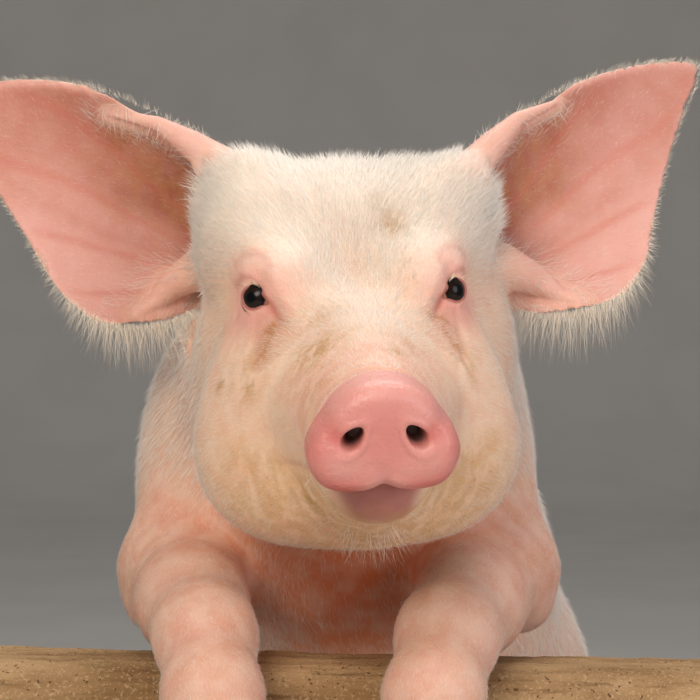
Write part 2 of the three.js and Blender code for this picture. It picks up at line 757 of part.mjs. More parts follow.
for (const name of Object.keys(SIDES)) {
  let leg;
  let foot;
  const fore = foreJoints[name];
  const elbow = fore[1].at.clone().lerp(fore[2].at, 0.7);
  [leg, body] = parted(body, roundCut(elbow, directionAt(fore, 2), 42), fore[3].at);
  const carpus = fore[4].at.clone().lerp(fore[5].at, 0.4);
  [foot, leg] = parted(leg, roundCut(carpus, directionAt(fore, 5), 34), fore[6].at);
  addPiece(`foreleg_${name}_forearm`, leg, SKIN.leg);
  addFoot(`foreleg_${name}`, foot, forefoot(name));

  const hind = hindJoints[name];
  const stifle = hind[1].at.clone().lerp(hind[2].at, 0.8);
  [leg, body] = parted(body, roundCut(stifle, directionAt(hind, 2), 52), hind[3].at);
  const hock = hind[3].at.clone().lerp(hind[4].at, 0.3);
  [foot, leg] = parted(leg, roundCut(hock, directionAt(hind, 4), 34), hind[5].at);
  addPiece(`hindleg_${name}_shank`, leg, SKIN.leg);
  addFoot(`hindleg_${name}`, foot, hindfoot(name));
}

let head;
let snout;
let jaw;
let neck;
let trunkFront;
let trunkMiddle;
const napeSize = { width: 230, height: 310 };
const girthSize = { width: 340, height: 420 };
[head, body] = parted(body, flatCut(vec(0, 60, 690), -10.5, napeSize), vec(2, 20, 640));
[jaw, head] = parted(head, mouthCut(), onHead(90, 0, -52).applyMatrix4(headFrame));
[snout, head] = parted(head, snoutCut(), onHead(120, 0, -18).applyMatrix4(headFrame));
addPiece("head", head, SKIN.head);
addPiece("lower_jaw", jaw, SKIN.snout);
addPiece("snout", snout, SKIN.snout, 0.45);
[neck, body] = parted(body, neckCut(), vec(2, 90, 615));
const girthCut = (back, down) => flatCut(inTrunk(0, back, -down), -50, girthSize, TRUNK.yaw);
[trunkFront, body] = parted(body, girthCut(78, 66), inTrunk(0, 10, -20));
[trunkMiddle, body] = parted(body, girthCut(205, 170), inTrunk(0, 140, -116));
addPiece("neck", neck, SKIN.neck);
addPiece("trunk_chest", trunkFront, SKIN.trunk);
addPiece("trunk_belly", trunkMiddle, SKIN.trunk);
addPiece("trunk_rump", body, SKIN.trunk);

const grownHead = wrappedHead(GAP);
const grownTrunk = wrappedTrunk(GAP);
for (const [name, side] of Object.entries(SIDES)) {
  addPiece(`eye_${name}`, eyeball(side), 0x120d0a, 0.1);
  addPiece(`ear_${name}`, largest(earSolid(name).subtract(grownHead).subtract(grownTrunk)), SKIN.ear);
}
addPiece("tail", largest(tailSolid().subtract(grownTrunk)), SKIN.leg);

addPiece("stand_base", solidOf(baseGeometry().translate(-ORIGIN_SHIFT.x, -ORIGIN_SHIFT.y, 0)), 0x3b3a38, 0.5);
addPiece("stand_rail", rail, 0xa98a62, 0.9);
for (const [name, side] of Object.entries(SIDES)) {
  addPiece(`stand_rod_${name}`, rodSolid(side, rail), 0x9a9a98, 0.3, 1);
}

export default group;
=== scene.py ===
import math

import bpy
import numpy as np
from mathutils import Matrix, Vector, noise as field_noise
from mathutils.kdtree import KDTree


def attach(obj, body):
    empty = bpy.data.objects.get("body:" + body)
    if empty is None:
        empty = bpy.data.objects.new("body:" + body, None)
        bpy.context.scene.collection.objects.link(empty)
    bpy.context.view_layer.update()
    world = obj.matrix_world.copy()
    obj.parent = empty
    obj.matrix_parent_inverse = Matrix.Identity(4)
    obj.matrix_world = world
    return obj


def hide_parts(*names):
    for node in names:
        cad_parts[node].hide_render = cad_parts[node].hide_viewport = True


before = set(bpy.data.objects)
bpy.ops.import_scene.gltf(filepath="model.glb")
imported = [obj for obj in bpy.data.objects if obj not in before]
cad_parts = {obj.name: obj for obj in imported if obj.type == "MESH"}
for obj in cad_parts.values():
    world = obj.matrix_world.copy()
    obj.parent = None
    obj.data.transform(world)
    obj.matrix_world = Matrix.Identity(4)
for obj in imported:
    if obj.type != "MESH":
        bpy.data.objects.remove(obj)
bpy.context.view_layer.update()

bl_info = {
    "name": "Young white pig at a rail",
    "version": (1, 0, 0),
    "blender": (4, 5, 0),
    "location": "3D View > Sidebar > Pig",
    "description": "Dresses the packed solids of a young pig with skin, eyes, claws and a bristle coat",
    "category": "Object",
}

MM = 0.001
RNG_SEED = 7

# ------------------------------ colours ------------------------------


def linear(hex_code):
    """An sRGB hex colour as linear red, green and blue."""
    parts = [int(hex_code[i : i + 2], 16) / 255 for i in (1, 3, 5)]
    return tuple(p / 12.92 if p <= 0.04045 else ((p + 0.055) / 1.055) ** 2.4 for p in parts)


# ------------------------------ the figure's own measures, in millimetres ------------------------------
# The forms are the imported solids' own: ovoids and tapered limbs that run into each other. They are
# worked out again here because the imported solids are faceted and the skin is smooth.

SIDES = {"right": -1, "left": 1}
SHIFT = np.array([-10.0, -245.0, 0.0])  # from the plane of the eyes to the middle of the base
HEAD = {"place": (1.8, 0, 648), "pitch": 22, "yaw": 4.5, "roll": -2.2}
TRUNK = {"place": (-5, 165, 560), "yaw": -13.5, "slimness": 1.07}
NAPE = (5, 84, 619)
EYE = {"radius": 10.5, "apart": 80, "inset": 2, "up": -1.5}
GAZE = {"out": 36, "up": 20, "tilt": 10}  # where an eye's opening faces, in degrees from straight ahead
DISC = {"face": 133, "back": 112, "rim": 6.5, "lean": 3, "pillow": 2.4}
NOSTRIL = {"out": 12.5, "up": -10, "wide": 3.5, "tall": 5.6, "lean": 40, "deep": 9}


def turn(axis, degrees):
    """A turn about one axis, as a matrix."""
    c, s = math.cos(math.radians(degrees)), math.sin(math.radians(degrees))
    table = {
        "x": [[1, 0, 0], [0, c, -s], [0, s, c]],
        "y": [[c, 0, s], [0, 1, 0], [-s, 0, c]],
        "z": [[c, -s, 0], [s, c, 0], [0, 0, 1]],
    }
    return np.array(table[axis], float)


HEAD_TURN = turn("y", HEAD["roll"]) @ turn("z", HEAD["yaw"]) @ turn("x", HEAD["pitch"])
TRUNK_TURN = turn("z", TRUNK["yaw"])


def to_head(points):
    """Places in the head's own frame: out to its left, back and up."""
    return (points - HEAD["place"]) @ HEAD_TURN


def from_head(points):
    return np.asarray(points, float) @ HEAD_TURN.T + HEAD["place"]


def to_trunk(points):
    return (points - TRUNK["place"]) @ TRUNK_TURN


def from_trunk(points):
    return np.asarray(points, float) @ TRUNK_TURN.T + TRUNK["place"]


def on_head(ahead, out, up):
    """A place in the head's frame, by how far ahead of the eyes it is."""
    return np.array([out, -ahead, up], float)


def smoothstep(low, high, value):
    """0 up to low and 1 from high, or the other way round when low is more."""
    t = np.clip((value - low) / (high - low), 0, 1)
    return t * t * (3 - 2 * t)


def bump(value, width):
    """1 at 0, fading out on both sides over about the width."""
    return np.exp(-((value / width) ** 2))


def unit(vectors):
    length = np.linalg.norm(vectors, axis=-1, keepdims=True)
    return vectors / np.maximum(length, 1e-9)


# ------------------------------ forms ------------------------------


def ovoid(middle, half, lean=0):
    """About the distance to an ovoid, leant back by some degrees."""
    middle, half, turned = np.array(middle, float), np.array(half, float), turn("x", lean)

    def form(points):
        local = (points - middle) @ turned
        near = np.sqrt(((local / half) ** 2).sum(1))
        steep = np.sqrt(((local / half**2) ** 2).sum(1))
        return near * (near - 1) / np.maximum(steep, 1e-9)

    return form


def limb(start, end, start_radius, end_radius):
    """The distance to a round limb that tapers between two places."""
    start, along = np.array(start, float), np.array(end, float) - np.array(start, float)

    def form(points):
        local = points - start
        share = np.clip(local @ along / (along @ along), 0, 1)
        away = np.linalg.norm(local - share[:, None] * along, axis=1)
        return away - (start_radius + (end_radius - start_radius) * share)

    return form


def chain(joints):
    return [limb(a[0], b[0], a[1], b[1]) for a, b in zip(joints, joints[1:])]


def soft_min(reach, one, other):
    """The nearer of two forms, run into each other over the reach."""
    share = np.maximum(reach - np.abs(one - other), 0) / reach
    return np.minimum(one, other) - share * share * reach / 4


def blend(reach, *forms):
    def form(points):
        whole = forms[0](points)
        for each in forms[1:]:
            whole = soft_min(reach, whole, each(points))
        return whole

    return form


def both(make):
    """The same thing made for the right side and for the left."""
    return [make(side) for side in SIDES.values()]


HEAD_FORM = blend(
    19,
    ovoid(on_head(-56, 0, 0), (58, 47, 42)),
    *both(lambda s: ovoid(on_head(-56, s * 41, 3), (28, 36, 38))),
    limb(on_head(12, 0, -28), on_head(101, 0, -10), 33, 19),
    *both(lambda s: ovoid(on_head(-9, s * 26, -18), (22, 34, 27))),
    *both(lambda s: ovoid(on_head(-9, s * 34, 9), (15, 17, 10))),
    *both(lambda s: limb(on_head(40, s * 18, -38), on_head(102, s * 9, -22), 27, 16)),
    *both(lambda s: ovoid(on_head(-4, s * 36, -56), (33, 48, 44), -20)),
    *both(lambda s: ovoid(on_head(16, s * 22, -72), (50, 44, 39))),
    *both(lambda s: limb(on_head(40, s * 8, -68), on_head(95, s * 5, -46), 26, 14)),
)

NAPE_IN_TRUNK = to_trunk(np.array([NAPE], float))[0]
TRUNK_FORM = blend(
    26,
    limb(NAPE_IN_TRUNK, (0, -10, 6), 84, 96),
    limb((0, 0, 0), (0, 70, -60), 93, 104),
    limb((0, 70, -60), (0, 190, -160), 104, 115),
    limb((0, 190, -160), (0, 296, -232), 115, 94),
    *both(lambda s: ovoid((s * 66, -16, 10), (39, 56, 80), -17)),
    *both(lambda s: ovoid((s * 56, 280, -276), (50, 76, 98), -26)),
)

FORE_SPREAD = {
    "right": (-60, -84, -74, -65, -59, -57, -56, -56),
    "left": (52, 73, 56, 44, 36, 33, 32, 32),
}
FORE_LINE = (
    (146, 556, 34),
    (98, 515, 29),
    (48, 504.5, 25),
    (8, 495, 22),
    (-27, 474, 20.5),
    (-43, 432, 15.5),
    (-49, 400, 17),
    (-52, 372, 16),
)
HIND_LINE = (
    (50, 292, -262, 46),
    (60, 252, -332, 47),
    (61, 284, -388, 33),
    (58, 322, -430, 22),
    (56, 316, -468, 17),
    (56, 308, -500, 18),
    (56, 296, -519, 16.5),
)
TAIL_LINE = (
    (0, -26, -6),
    (2, 6, -10),
    (6, 24, -40),
    (16, 22, -78),
    (6, 14, -104),
    (-16, 20, -112),
    (-20, 34, -96),
    (-6, 44, -92),
)
FORE_JOINTS = {
    name: [((x, y, z), r) for x, (y, z, r) in zip(FORE_SPREAD[name], FORE_LINE)] for name in SIDES
}
HIND_JOINTS = {
    name: [(from_trunk((side * x, y, z)), r) for x, y, z, r in HIND_LINE]
    for name, side in SIDES.items()
}
TAIL_ROOT = from_trunk((0, 372, -196))
TAIL_JOINTS = [(TAIL_ROOT + np.array(p), 10 - 6 * i / 7) for i, p in enumerate(TAIL_LINE)]


def trunk_field(points):
    local = to_trunk(points)
    local[:, 0] *= TRUNK["slimness"]
    return TRUNK_FORM(local)


def leg_fields():
    fields = []
    for name, side in SIDES.items():
        elbow = np.array(FORE_JOINTS[name][1][0]) + (side * 13, -8, -19)
        own = blend(14, *chain(FORE_JOINTS[name]), ovoid(elbow, (10, 12, 9)))
        fields.append((own, 26))
        fields.append((blend(14, *chain(HIND_JOINTS[name])), 40))
    return fields


LEG_FIELDS = leg_fields()
TAIL_FORM = blend(4, *chain(TAIL_JOINTS))

# The disc of the snout: a rounded plate, narrow at the top, with two full lower lobes.
DISC_OUTLINE = ((0, 9.5), (12.5, 6.5), (23, -5.5), (30.5, -19), (25, -32.5), (12, -35.5), (0, -32.5))
DISC_MIDDLE = (0, -12)


def disc_radius_table():
    """The disc's outline as a radius for each angle round its middle."""
    right = [np.array(p, float) - DISC_MIDDLE for p in DISC_OUTLINE]
    left = [p * (-1, 1) for p in right[1:]]
    ring = right + left[::-1]
    angles = np.array([math.atan2(p[0], p[1]) for p in ring])
    radii = np.array([np.hypot(*p) for p in ring])
    order = np.argsort(angles)
    angles, radii = angles[order], radii[order]
    angles = np.concatenate([angles - 2 * np.pi, angles, angles + 2 * np.pi])
    radii = np.tile(radii, 3)
    steps = np.linspace(-np.pi, np.pi, 721)
    coarse = np.interp(steps, angles, radii)
    kernel = np.hanning(61)
    padded = np.concatenate([coarse[-91:-1], coarse, coarse[1:91]])
    return steps, np.convolve(padded, kernel / kernel.sum(), "same")[90:-90]


DISC_ANGLES, DISC_RADII = disc_radius_table()


def disc_field(local):
    """Distance to the snout's disc, in the head's frame. Its face is crowned like a pillow."""
    back = on_head(DISC["back"], 0, 0)
    flat = (local - back) @ turn("x", -DISC["lean"]) + back
    x, up = flat[:, 0], flat[:, 2] - DISC_MIDDLE[1]
    reach = np.hypot(x, up)
    edge = np.interp(np.arctan2(x, up), DISC_ANGLES, DISC_RADII)
    forward = DISC["pillow"] * np.minimum(reach / edge, 1.2) ** 3 - flat[:, 1]
    rim = DISC["rim"]
    half = (DISC["face"] - DISC["back"]) / 2
    deep = np.abs(forward - (DISC["face"] + DISC["back"]) / 2) - half
    out = reach - edge
    inside = np.minimum(np.maximum(out, deep) + rim, 0)
    return np.hypot(np.maximum(out + rim, 0), np.maximum(deep + rim, 0)) + inside - rim


def eye_centre(side):
    return on_head(-EYE["inset"], side * EYE["apart"] / 2, EYE["up"])


def eye_distance(local):
    """How far each place on the head is from the middle of the nearer eye."""
    return np.minimum(*both(lambda side: np.linalg.norm(local - eye_centre(side), axis=1)))


def eye_axes(side):
    """Where an eye faces, and the ways to its outer corner and to its upper lid."""
    out, up, tilt = (math.radians(GAZE[k]) for k in ("out", "up", "tilt"))
    ahead = math.cos(out) * math.cos(up)
    gaze = np.array([side * math.sin(out) * math.cos(up), -ahead, math.sin(up)])
    level = unit(np.array([-gaze[1], gaze[0], 0.0])) * side
    upright = np.cross(level, gaze) * -side
    outer = level * math.cos(tilt) + upright * math.sin(tilt)
    return gaze, outer, upright * math.cos(tilt) - level * math.sin(tilt)


LIP_FORM = ovoid(on_head(101, 0, -47), (15, 17, 11))


def head_field(points):
    local = to_head(points)
    flesh = soft_min(7, HEAD_FORM(local), LIP_FORM(local))
    return soft_min(6, flesh, disc_field(local))


RAIL = {"middle": (0, 45, 445.5), "half": (37.5, 35), "rounding": 22, "slope": 1.0, "slimmer": 0.98}


def rail_field(points):
    """Distance to the rail, drawn a little slimmer than it is, so that flesh presses close to it."""
    local = (points - RAIL["middle"]) @ turn("y", RAIL["slope"])
    flat = np.abs(local[:, 1:]) - np.array(RAIL["half"]) * RAIL["slimmer"]
    flat += RAIL["rounding"]
    outside = np.linalg.norm(np.maximum(flat, 0), axis=1)
    return outside + np.minimum(flat.max(1), 0) - RAIL["rounding"]


def body_field(points):
    """Distance to the flesh of the whole animal but its ears' thin sheets."""
    trunk = trunk_field(points)
    whole = trunk
    for own, reach in LEG_FIELDS:
        whole = np.minimum(whole, soft_min(reach, own(points), trunk))
    whole = soft_min(8, whole, soft_min(15, head_field(points), fold_field(points)))
    whole = soft_min(8, whole, TAIL_FORM(points))
    return np.maximum(whole, 0.4 - rail_field(points))


# ------------------------------ ears ------------------------------

EAR_OUTLINE = (
    (-16, 8),
    (6, 37),
    (50, 42),
    (92, 35),
    (126, 18),
    (145, -3),
    (120, -18),
    (84, -38),
    (48, -57),
    (18, -60),
    (-6, -46),
    (-16, -20),
)
EAR_MIDDLE = (48, -8)
EAR = {"rim": 3.0, "root": 6.5, "cup": 30, "long": 150, "veins_from": 40}
VEINS = 26  # waves for each radian of the fan
BROAD_FOLDS = 9
EAR_POSE = {
    "right": {"root": (-70, 70, 679), "lift": 27, "sweep": 2, "front": (1, 1), "wall": 0},
    "left": {"root": (73, 70, 679), "lift": 39.5, "sweep": 20, "front": (1.0, 0.75), "wall": 7},
}
EAR_FACING = 6  # degrees that both ears' hollows look down


def ear_turn(name):
    side, pose = SIDES[name], EAR_POSE[name]
    return turn("y", -side * pose["lift"]) @ turn("x", EAR_FACING) @ turn("z", side * pose["sweep"])


def to_ear(points, name):
    """A point's place in an ear: along it, its depth (front is less) and across it."""
    local = (points - EAR_POSE[name]["root"]) @ ear_turn(name)
    return local * (SIDES[name], 1, 1)


def from_ear(local, name):
    return (local * (SIDES[name], 1, 1)) @ ear_turn(name).T + EAR_POSE[name]["root"]


def ear_spread(name, along, across):
    """How broad an ear is beside the other, on its front edge from root to tip."""
    root, tip = EAR_POSE[name]["front"]
    return 1 if across <= 0 else root + (tip - root) * min(max(along / 130, 0), 1)


def ear_outline(name, count=720):
    """The ear's closed outline, drawn smoothly through its corners."""
    corners = np.array([(a, c * ear_spread(name, a, c)) for a, c in EAR_OUTLINE])
    n = len(corners)
    t = np.linspace(0, n, count, endpoint=False)
    i = t.astype(int)
    u = (t - i)[:, None]
    p0, p1, p2, p3 = (corners[(i + k) % n] for k in (-1, 0, 1, 2))
    steps = ((p0, p1), (p1, p2), (p2, p3))
    d1, d2, d3 = (np.sqrt(np.linalg.norm(b - a, axis=1))[:, None] for a, b in steps)
    m1 = d2 * ((p1 - p0) / d1 - (p2 - p0) / (d1 + d2) + (p2 - p1) / d2)
    m2 = d2 * ((p2 - p1) / d2 - (p3 - p1) / (d2 + d3) + (p3 - p2) / d3)
    cubic, square = 2 * p1 - 2 * p2 + m1 + m2, -3 * p1 + 3 * p2 - 2 * m1 - m2
    return cubic * u**3 + square * u**2 + m1 * u + p1


def ear_radii(name):
    """An ear's outline as a radius for each angle round its middle."""
    ring = ear_outline(name) - EAR_MIDDLE
    angle = np.arctan2(ring[:, 1], ring[:, 0])
    order = np.argsort(angle)
    return angle[order], np.hypot(*ring.T)[order]


EAR_RADII = {name: ear_radii(name) for name in SIDES}


def ear_share(along, across, name):
    """How far out a place in the ear is: 0 at its middle and 1 at its rim."""
    x, y = along - EAR_MIDDLE[0], across - EAR_MIDDLE[1]
    angles, radii = EAR_RADII[name]
    edge = np.interp(np.arctan2(y, x), angles, radii, period=2 * np.pi)
    return np.hypot(x, y) / edge


def ear_depth(along, across):
    """How far behind its root's plane an ear's sheet lies: a cup that flattens out to the tip."""
    hollow = EAR["cup"] * np.clip(1 - along / EAR["long"], 0, 1) ** 1.4
    half = 46 - 16 * np.clip(along / 120, 0, 1)
    aside = (across - EAR_MIDDLE[1]) / half
    return hollow * (1 - aside * aside * 0.9)


def ear_half_thickness(along, share):
    """Half an ear's thickness: leathery at its root, thin and round at its rim."""
    leather = EAR["root"] + (EAR["rim"] - EAR["root"]) * np.clip(along / 90, 0, 1)
    return leather / 2 * np.sqrt(np.maximum(1 - np.minimum(share, 1) ** 6, 0))


def ear_fan(along, across):
    """The angle of each place in an ear, round the place behind its root that its veins fan from."""
    return np.arctan2(across - EAR_MIDDLE[1], along + EAR["veins_from"])


def ear_relief(along, across, share, front):
    """The veins and soft folds of an ear's inner face, and its faintly rolled rim."""
    fan = ear_fan(along, across)
    folds = np.cos(fan * VEINS + 0.6) * smoothstep(10, 40, along) * (1 - smoothstep(95, 135, along))
    wide = np.cos(fan * BROAD_FOLDS + 0.4) * smoothstep(5, 40, along)
    folds = folds + 1.2 * wide * (1 - smoothstep(80, 130, along))
    rolled = bump(share - 0.93, 0.05)
    inner = 0.55 * folds * (1 - share) ** 0.5 - 0.5 * rolled
    return np.where(front, inner, -0.25 * folds)


# The thick folds at an ear's root, as places along the ear, in depth and across it, each with a
# radius: the front one rises from the crown into the ear's front edge, the rear one runs from the
# cheek round the bottom of the ear's cup, and the last one walls the cup off from the temple.
EAR_FOLDS = (
    (
        ((-9, -22, 32), 12.5),
        ((9, -2, 33.5), 10),
        ((25, -3, 35.5), 8),
        ((43, -4, 37), 4.8),
        ((66, -1, 31), 2.6),
    ),
    (((-8, 6, -12), 12), ((4, 12, -29), 9), ((8, 11, -43), 5.5), ((14, 3, -53), 3.2)),
    (((19, -4, 33), 6.5), ((10, -9, 24), 4.5), ((4, -12, 17.5), 3.5), ((-3, -18, 11), 3)),
)


def fold_joints(name):
    """An ear's folds as chains of joints in the figure's frame, its wall moved in by the pose."""
    nearer = (0, 0, EAR_POSE[name]["wall"])
    return [
        [(from_ear(np.array(place, float) - (shift, 0, 0), name), radius) for place, radius in fold]
        for fold, shift in zip(EAR_FOLDS, nearer)
    ]


FOLD_FORMS = [limb for name in SIDES for joints in fold_joints(name) for limb in chain(joints)]


def fold_field(points):
    near = np.full(len(points), 500.0)
    high = points[:, 2] > 570
    for form in FOLD_FORMS:
        near[high] = np.minimum(near[high], form(points[high]))
    return near


# ------------------------------ mesh helpers ------------------------------


def select_only(*objects):
    bpy.ops.object.select_all(action="DESELECT")
    for each in objects:
        each.select_set(True)
    bpy.context.view_layer.objects.active = objects[0]


def read(items, key, width=1, kind=np.float32):
    """One list of numbers from a mesh, in rows of the given width."""
    flat = np.empty(len(items) * width, kind)
    items.foreach_get(key, flat)
    return flat.reshape(-1, width) if width > 1 else flat


def read_places(mesh):
    return read(mesh.vertices, "co", 3).astype(float)


def write_places(mesh, places):
    mesh.vertices.foreach_set("co", np.ascontiguousarray(places, np.float32).ravel())
    mesh.update()


def read_normals(mesh):
    return read(mesh.vertex_normals, "vector", 3).astype(float)


def read_edges(mesh):
    return read(mesh.edges, "vertices", 2, np.int32)


def read_corners(mesh):
    return read(mesh.loops, "vertex_index", kind=np.int32)


def read_middles(mesh):
    return to_figure(read(mesh.polygons, "center", 3).astype(float))


def to_figure(places):
    return places / MM - SHIFT


def to_world(points):
    return (points + SHIFT) * MM


def relax(values, edges, weight, times):
    """Smooths values over a mesh's edges, by the weight given at each vertex."""
    values = np.array(values, float)
    one, other = edges.T
    count = np.bincount(edges.ravel(), minlength=len(values))[:, None]
    weight = np.broadcast_to(weight, len(values))[:, None]
    for _ in range(times):
        total = np.zeros_like(values)
        for k in range(values.shape[1]):
            total[:, k] = np.bincount(one, values[other, k], len(values))
            total[:, k] += np.bincount(other, values[one, k], len(values))
        values += weight * (total / np.maximum(count, 1) - values)
    return values


def set_scalar(mesh, name, values):
    layer = mesh.attributes.get(name) or mesh.attributes.new(name, "FLOAT", "POINT")
    layer.data.foreach_set("value", np.ascontiguousarray(values, np.float32))


def set_colour(mesh, name, values):
    layer = mesh.color_attributes.get(name) or mesh.color_attributes.new(name, "FLOAT_COLOR", "POINT")
    full = np.concatenate([values, np.ones((len(values), 1))], axis=1)
    layer.data.foreach_set("color", np.ascontiguousarray(full, np.float32).ravel())


def get_scalar(mesh, name):
    return read(mesh.attributes[name].data, "value").astype(float)


def get_colour(mesh, name):
    return read(mesh.attributes[name].data, "color", 4).astype(float)[:, :3]


def merge_doubles(obj, facing_out=False):
    select_only(obj)
    bpy.ops.object.mode_set(mode="EDIT")
    bpy.ops.mesh.select_all(action="SELECT")
    bpy.ops.mesh.remove_doubles(threshold=1e-6)
    if facing_out:
        bpy.ops.mesh.normals_make_consistent(inside=False)
    bpy.ops.object.mode_set(mode="OBJECT")


def new_ball(segments, rings):
    """A ball one unit in radius, with its places."""
    bpy.ops.object.select_all(action="DESELECT")
    bpy.ops.mesh.primitive_uv_sphere_add(segments=segments, ring_count=rings, radius=1)
    ball = bpy.context.object
    return ball, read_places(ball.data)


def copy_node(name):
    """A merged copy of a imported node's mesh, as an object of its own."""
    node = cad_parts[name]
    copied = bpy.data.objects.new(name + "_copy", node.data.copy())
    bpy.context.scene.collection.objects.link(copied)
    merge_doubles(copied)
    copied.data.materials.clear()
    return copied


def apply_modifier(obj, kind, **settings):
    modifier = obj.modifiers.new(kind.lower(), kind)
    for key, value in settings.items():
        setattr(modifier, key, value)
    select_only(obj)
    bpy.ops.object.modifier_apply(modifier=modifier.name)


def finish_piece(obj, name, material, slot, *replaced):
    obj.name = name
    obj.data.name = name
    obj.data.materials.clear()
    obj.data.materials.append(material)
    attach(obj, "root")
    if replaced:
        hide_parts(*replaced)
    return obj


# ------------------------------ materials ------------------------------


def add_node(tree, kind, links=None, **settings):
    """Adds a node; settings are its own options, and links set or link its inputs."""
    made = tree.nodes.new(kind)
    for key, value in settings.items():
        setattr(made, key, value)
    for key, value in (links or {}).items():
        socket = made.inputs[key]
        if isinstance(value, bpy.types.NodeSocket):
            tree.links.new(value, socket)
        else:
            socket.default_value = value
    return made


def new_material(name):
    material = bpy.data.materials.new(name)
    material.use_nodes = True
    material.node_tree.nodes.clear()
    return material, material.node_tree


def surface(tree, links):
    shader = add_node(tree, "ShaderNodeBsdfPrincipled", links)
    output = add_node(tree, "ShaderNodeOutputMaterial")
    tree.links.new(shader.outputs[0], output.inputs[0])
    return shader


def mix(tree, factor, one, other, blend_type="MIX"):
    made = add_node(tree, "ShaderNodeMix", data_type="RGBA", blend_type=blend_type)
    for index, value in ((0, factor), (6, one), (7, other)):
        if isinstance(value, bpy.types.NodeSocket):
            tree.links.new(value, made.inputs[index])
        elif index == 0:
            made.inputs[index].default_value = value
        else:
            made.inputs[index].default_value = (*value, 1)
    return made.outputs[2]


def ramp(tree, value, low, high, to_low=0.0, to_high=1.0):
    return add_node(
        tree,
        "ShaderNodeMapRange",
        {0: value, 1: low, 2: high, 3: to_low, 4: to_high},
        interpolation_type="SMOOTHSTEP",
    ).outputs[0]


def maths(tree, operation, *values):
    return add_node(tree, "ShaderNodeMath", dict(enumerate(values)), operation=operation).outputs[0]


def noise(tree, place, size, stretch=(1, 1, 1), detail=3.0, roughness=0.55):
    """Noise whose grains are about the given size in metres, drawn out by the stretch."""
    scaled = add_node(
        tree,
        "ShaderNodeMapping",
        {"Vector": place, "Scale": tuple(1 / (size * s) for s in stretch)},
        vector_type="POINT",
    )
    return add_node(
        tree,
        "ShaderNodeTexNoise",
        {"Vector": scaled.outputs[0], "Scale": 1.0, "Detail": detail, "Roughness": roughness},
    ).outputs[0]


def object_place(tree):
    return add_node(tree, "ShaderNodeTexCoord").outputs["Object"]


def attribute(tree, name, output="Fac"):
    return add_node(tree, "ShaderNodeAttribute", attribute_name=name).outputs[output]


def bumped(tree, height, distance, strength=1.0, normal=None):
    links = {"Height": height, "Distance": distance, "Strength": strength}
    if normal is not None:
        links["Normal"] = normal
    return add_node(tree, "ShaderNodeBump", links).outputs[0]


# A pig's skin: thin pink hide with a slight oily sheen, mottled, finely wrinkled and pored. Its colour at
# each place is in the attribute Tone, painted shade and highlights included; Bare is 1 where no coat
# covers it, and painted shade darkens its folds and hollows.
def skin_material(colours):
    material, tree = new_material("pig_hide")
    place = object_place(tree)
    tone = attribute(tree, "Tone", "Color")
    bare, grime, vein, crease_shade, moist = (
        attribute(tree, name) for name in ("Bare", "Grime", "Vein", "Crease", "Moist")
    )
    mottle = noise(tree, place, 0.011)
    flush = ramp(tree, noise(tree, place, 0.028, detail=2), 0.42, 0.72)
    speckle = ramp(tree, noise(tree, place, 0.0022, detail=2), 0.62, 0.78)
    calm = maths(tree, "MULTIPLY_ADD", bare, -0.8, 1.0)
    flushed = maths(tree, "MULTIPLY", maths(tree, "MULTIPLY", flush, 0.26), calm)
    colour = mix(tree, flushed, tone, colours.flush)
    mottled = maths(tree, "MULTIPLY", ramp(tree, mottle, 0.3, 0.7, 0.0, 0.22), calm)
    light = mix(tree, mottled, colour, colours.pale)
    red = mix(tree, maths(tree, "MULTIPLY", speckle, 0.16), light, colours.flush)
    blotch = ramp(tree, noise(tree, place, 0.006, (1, 1, 1.8), 4), 0.36, 0.62)
    stained = mix(tree, maths(tree, "MULTIPLY", blotch, grime), red, colours.grime)
    specks = ramp(tree, noise(tree, place, 0.0012, detail=1), 0.70, 0.74)
    dots = maths(tree, "MULTIPLY", maths(tree, "MULTIPLY", specks, grime), 0.9)
    dotted = mix(tree, dots, stained, colours.speck)
    veins = maths(tree, "MULTIPLY", vein, ramp(tree, mottle, 0.25, 0.6, 0.3, 0.9))
    veined = mix(tree, veins, dotted, colours.vein)
    # painted shade: the skin's folds and hollows darkened towards the crease colour
    crease_shaded = mix(tree, maths(tree, "MULTIPLY", crease_shade, 0.75), veined, colours.crease_shade)
    streaks = noise(tree, place, 0.0007, (1, 4, 9), 2, 0.6)
    pores = noise(tree, place, 0.0013, detail=3, roughness=0.6)
    wrinkles = noise(tree, place, 0.0035, (1.6, 1, 0.7), 3, 0.5)
    first = bumped(tree, streaks, 0.0004, 0.35)
    second = bumped(tree, pores, 0.0005, maths(tree, "MULTIPLY_ADD", bare, 0.3, 0.25), first)
    third = bumped(tree, wrinkles, 0.0011, 0.32, second)
    dry = ramp(tree, pores, 0.2, 0.8, 0.44, 0.62)
    surface(
        tree,
        {
            "Base Color": crease_shaded,
            "Roughness": maths(tree, "MULTIPLY_ADD", moist, -0.2, dry),
            "Subsurface Weight": 0.22,
            "Subsurface Radius": (1.0, 0.36, 0.2),
            "Subsurface Scale": 0.0035,
            "Specular IOR Level": 0.42,
            "Normal": third,
        },
    )
    return material


# Bristles: cream keratin, fine and a little glossy, each one's colour in the attribute Tone.
def bristle_material():
    material, tree = new_material("pig_bristle")
    tone = attribute(tree, "Tone", "Color")
    fine = noise(tree, object_place(tree), 0.004, detail=2)
    colour = mix(tree, ramp(tree, fine, 0.3, 0.7, 0.0, 0.25), tone, linear("#FFFBF2"))
    surface(
        tree,
        {
            "Base Color": colour,
            "Roughness": 0.5,
            "Specular IOR Level": 0.35,
            "Sheen Weight": 0.25,
            "Sheen Roughness": 0.4,
        },
    )
    return material


def bristle_finish():
    """The one material that all the bristles share."""
    return bpy.data.materials.get("pig_bristle") or bristle_material()


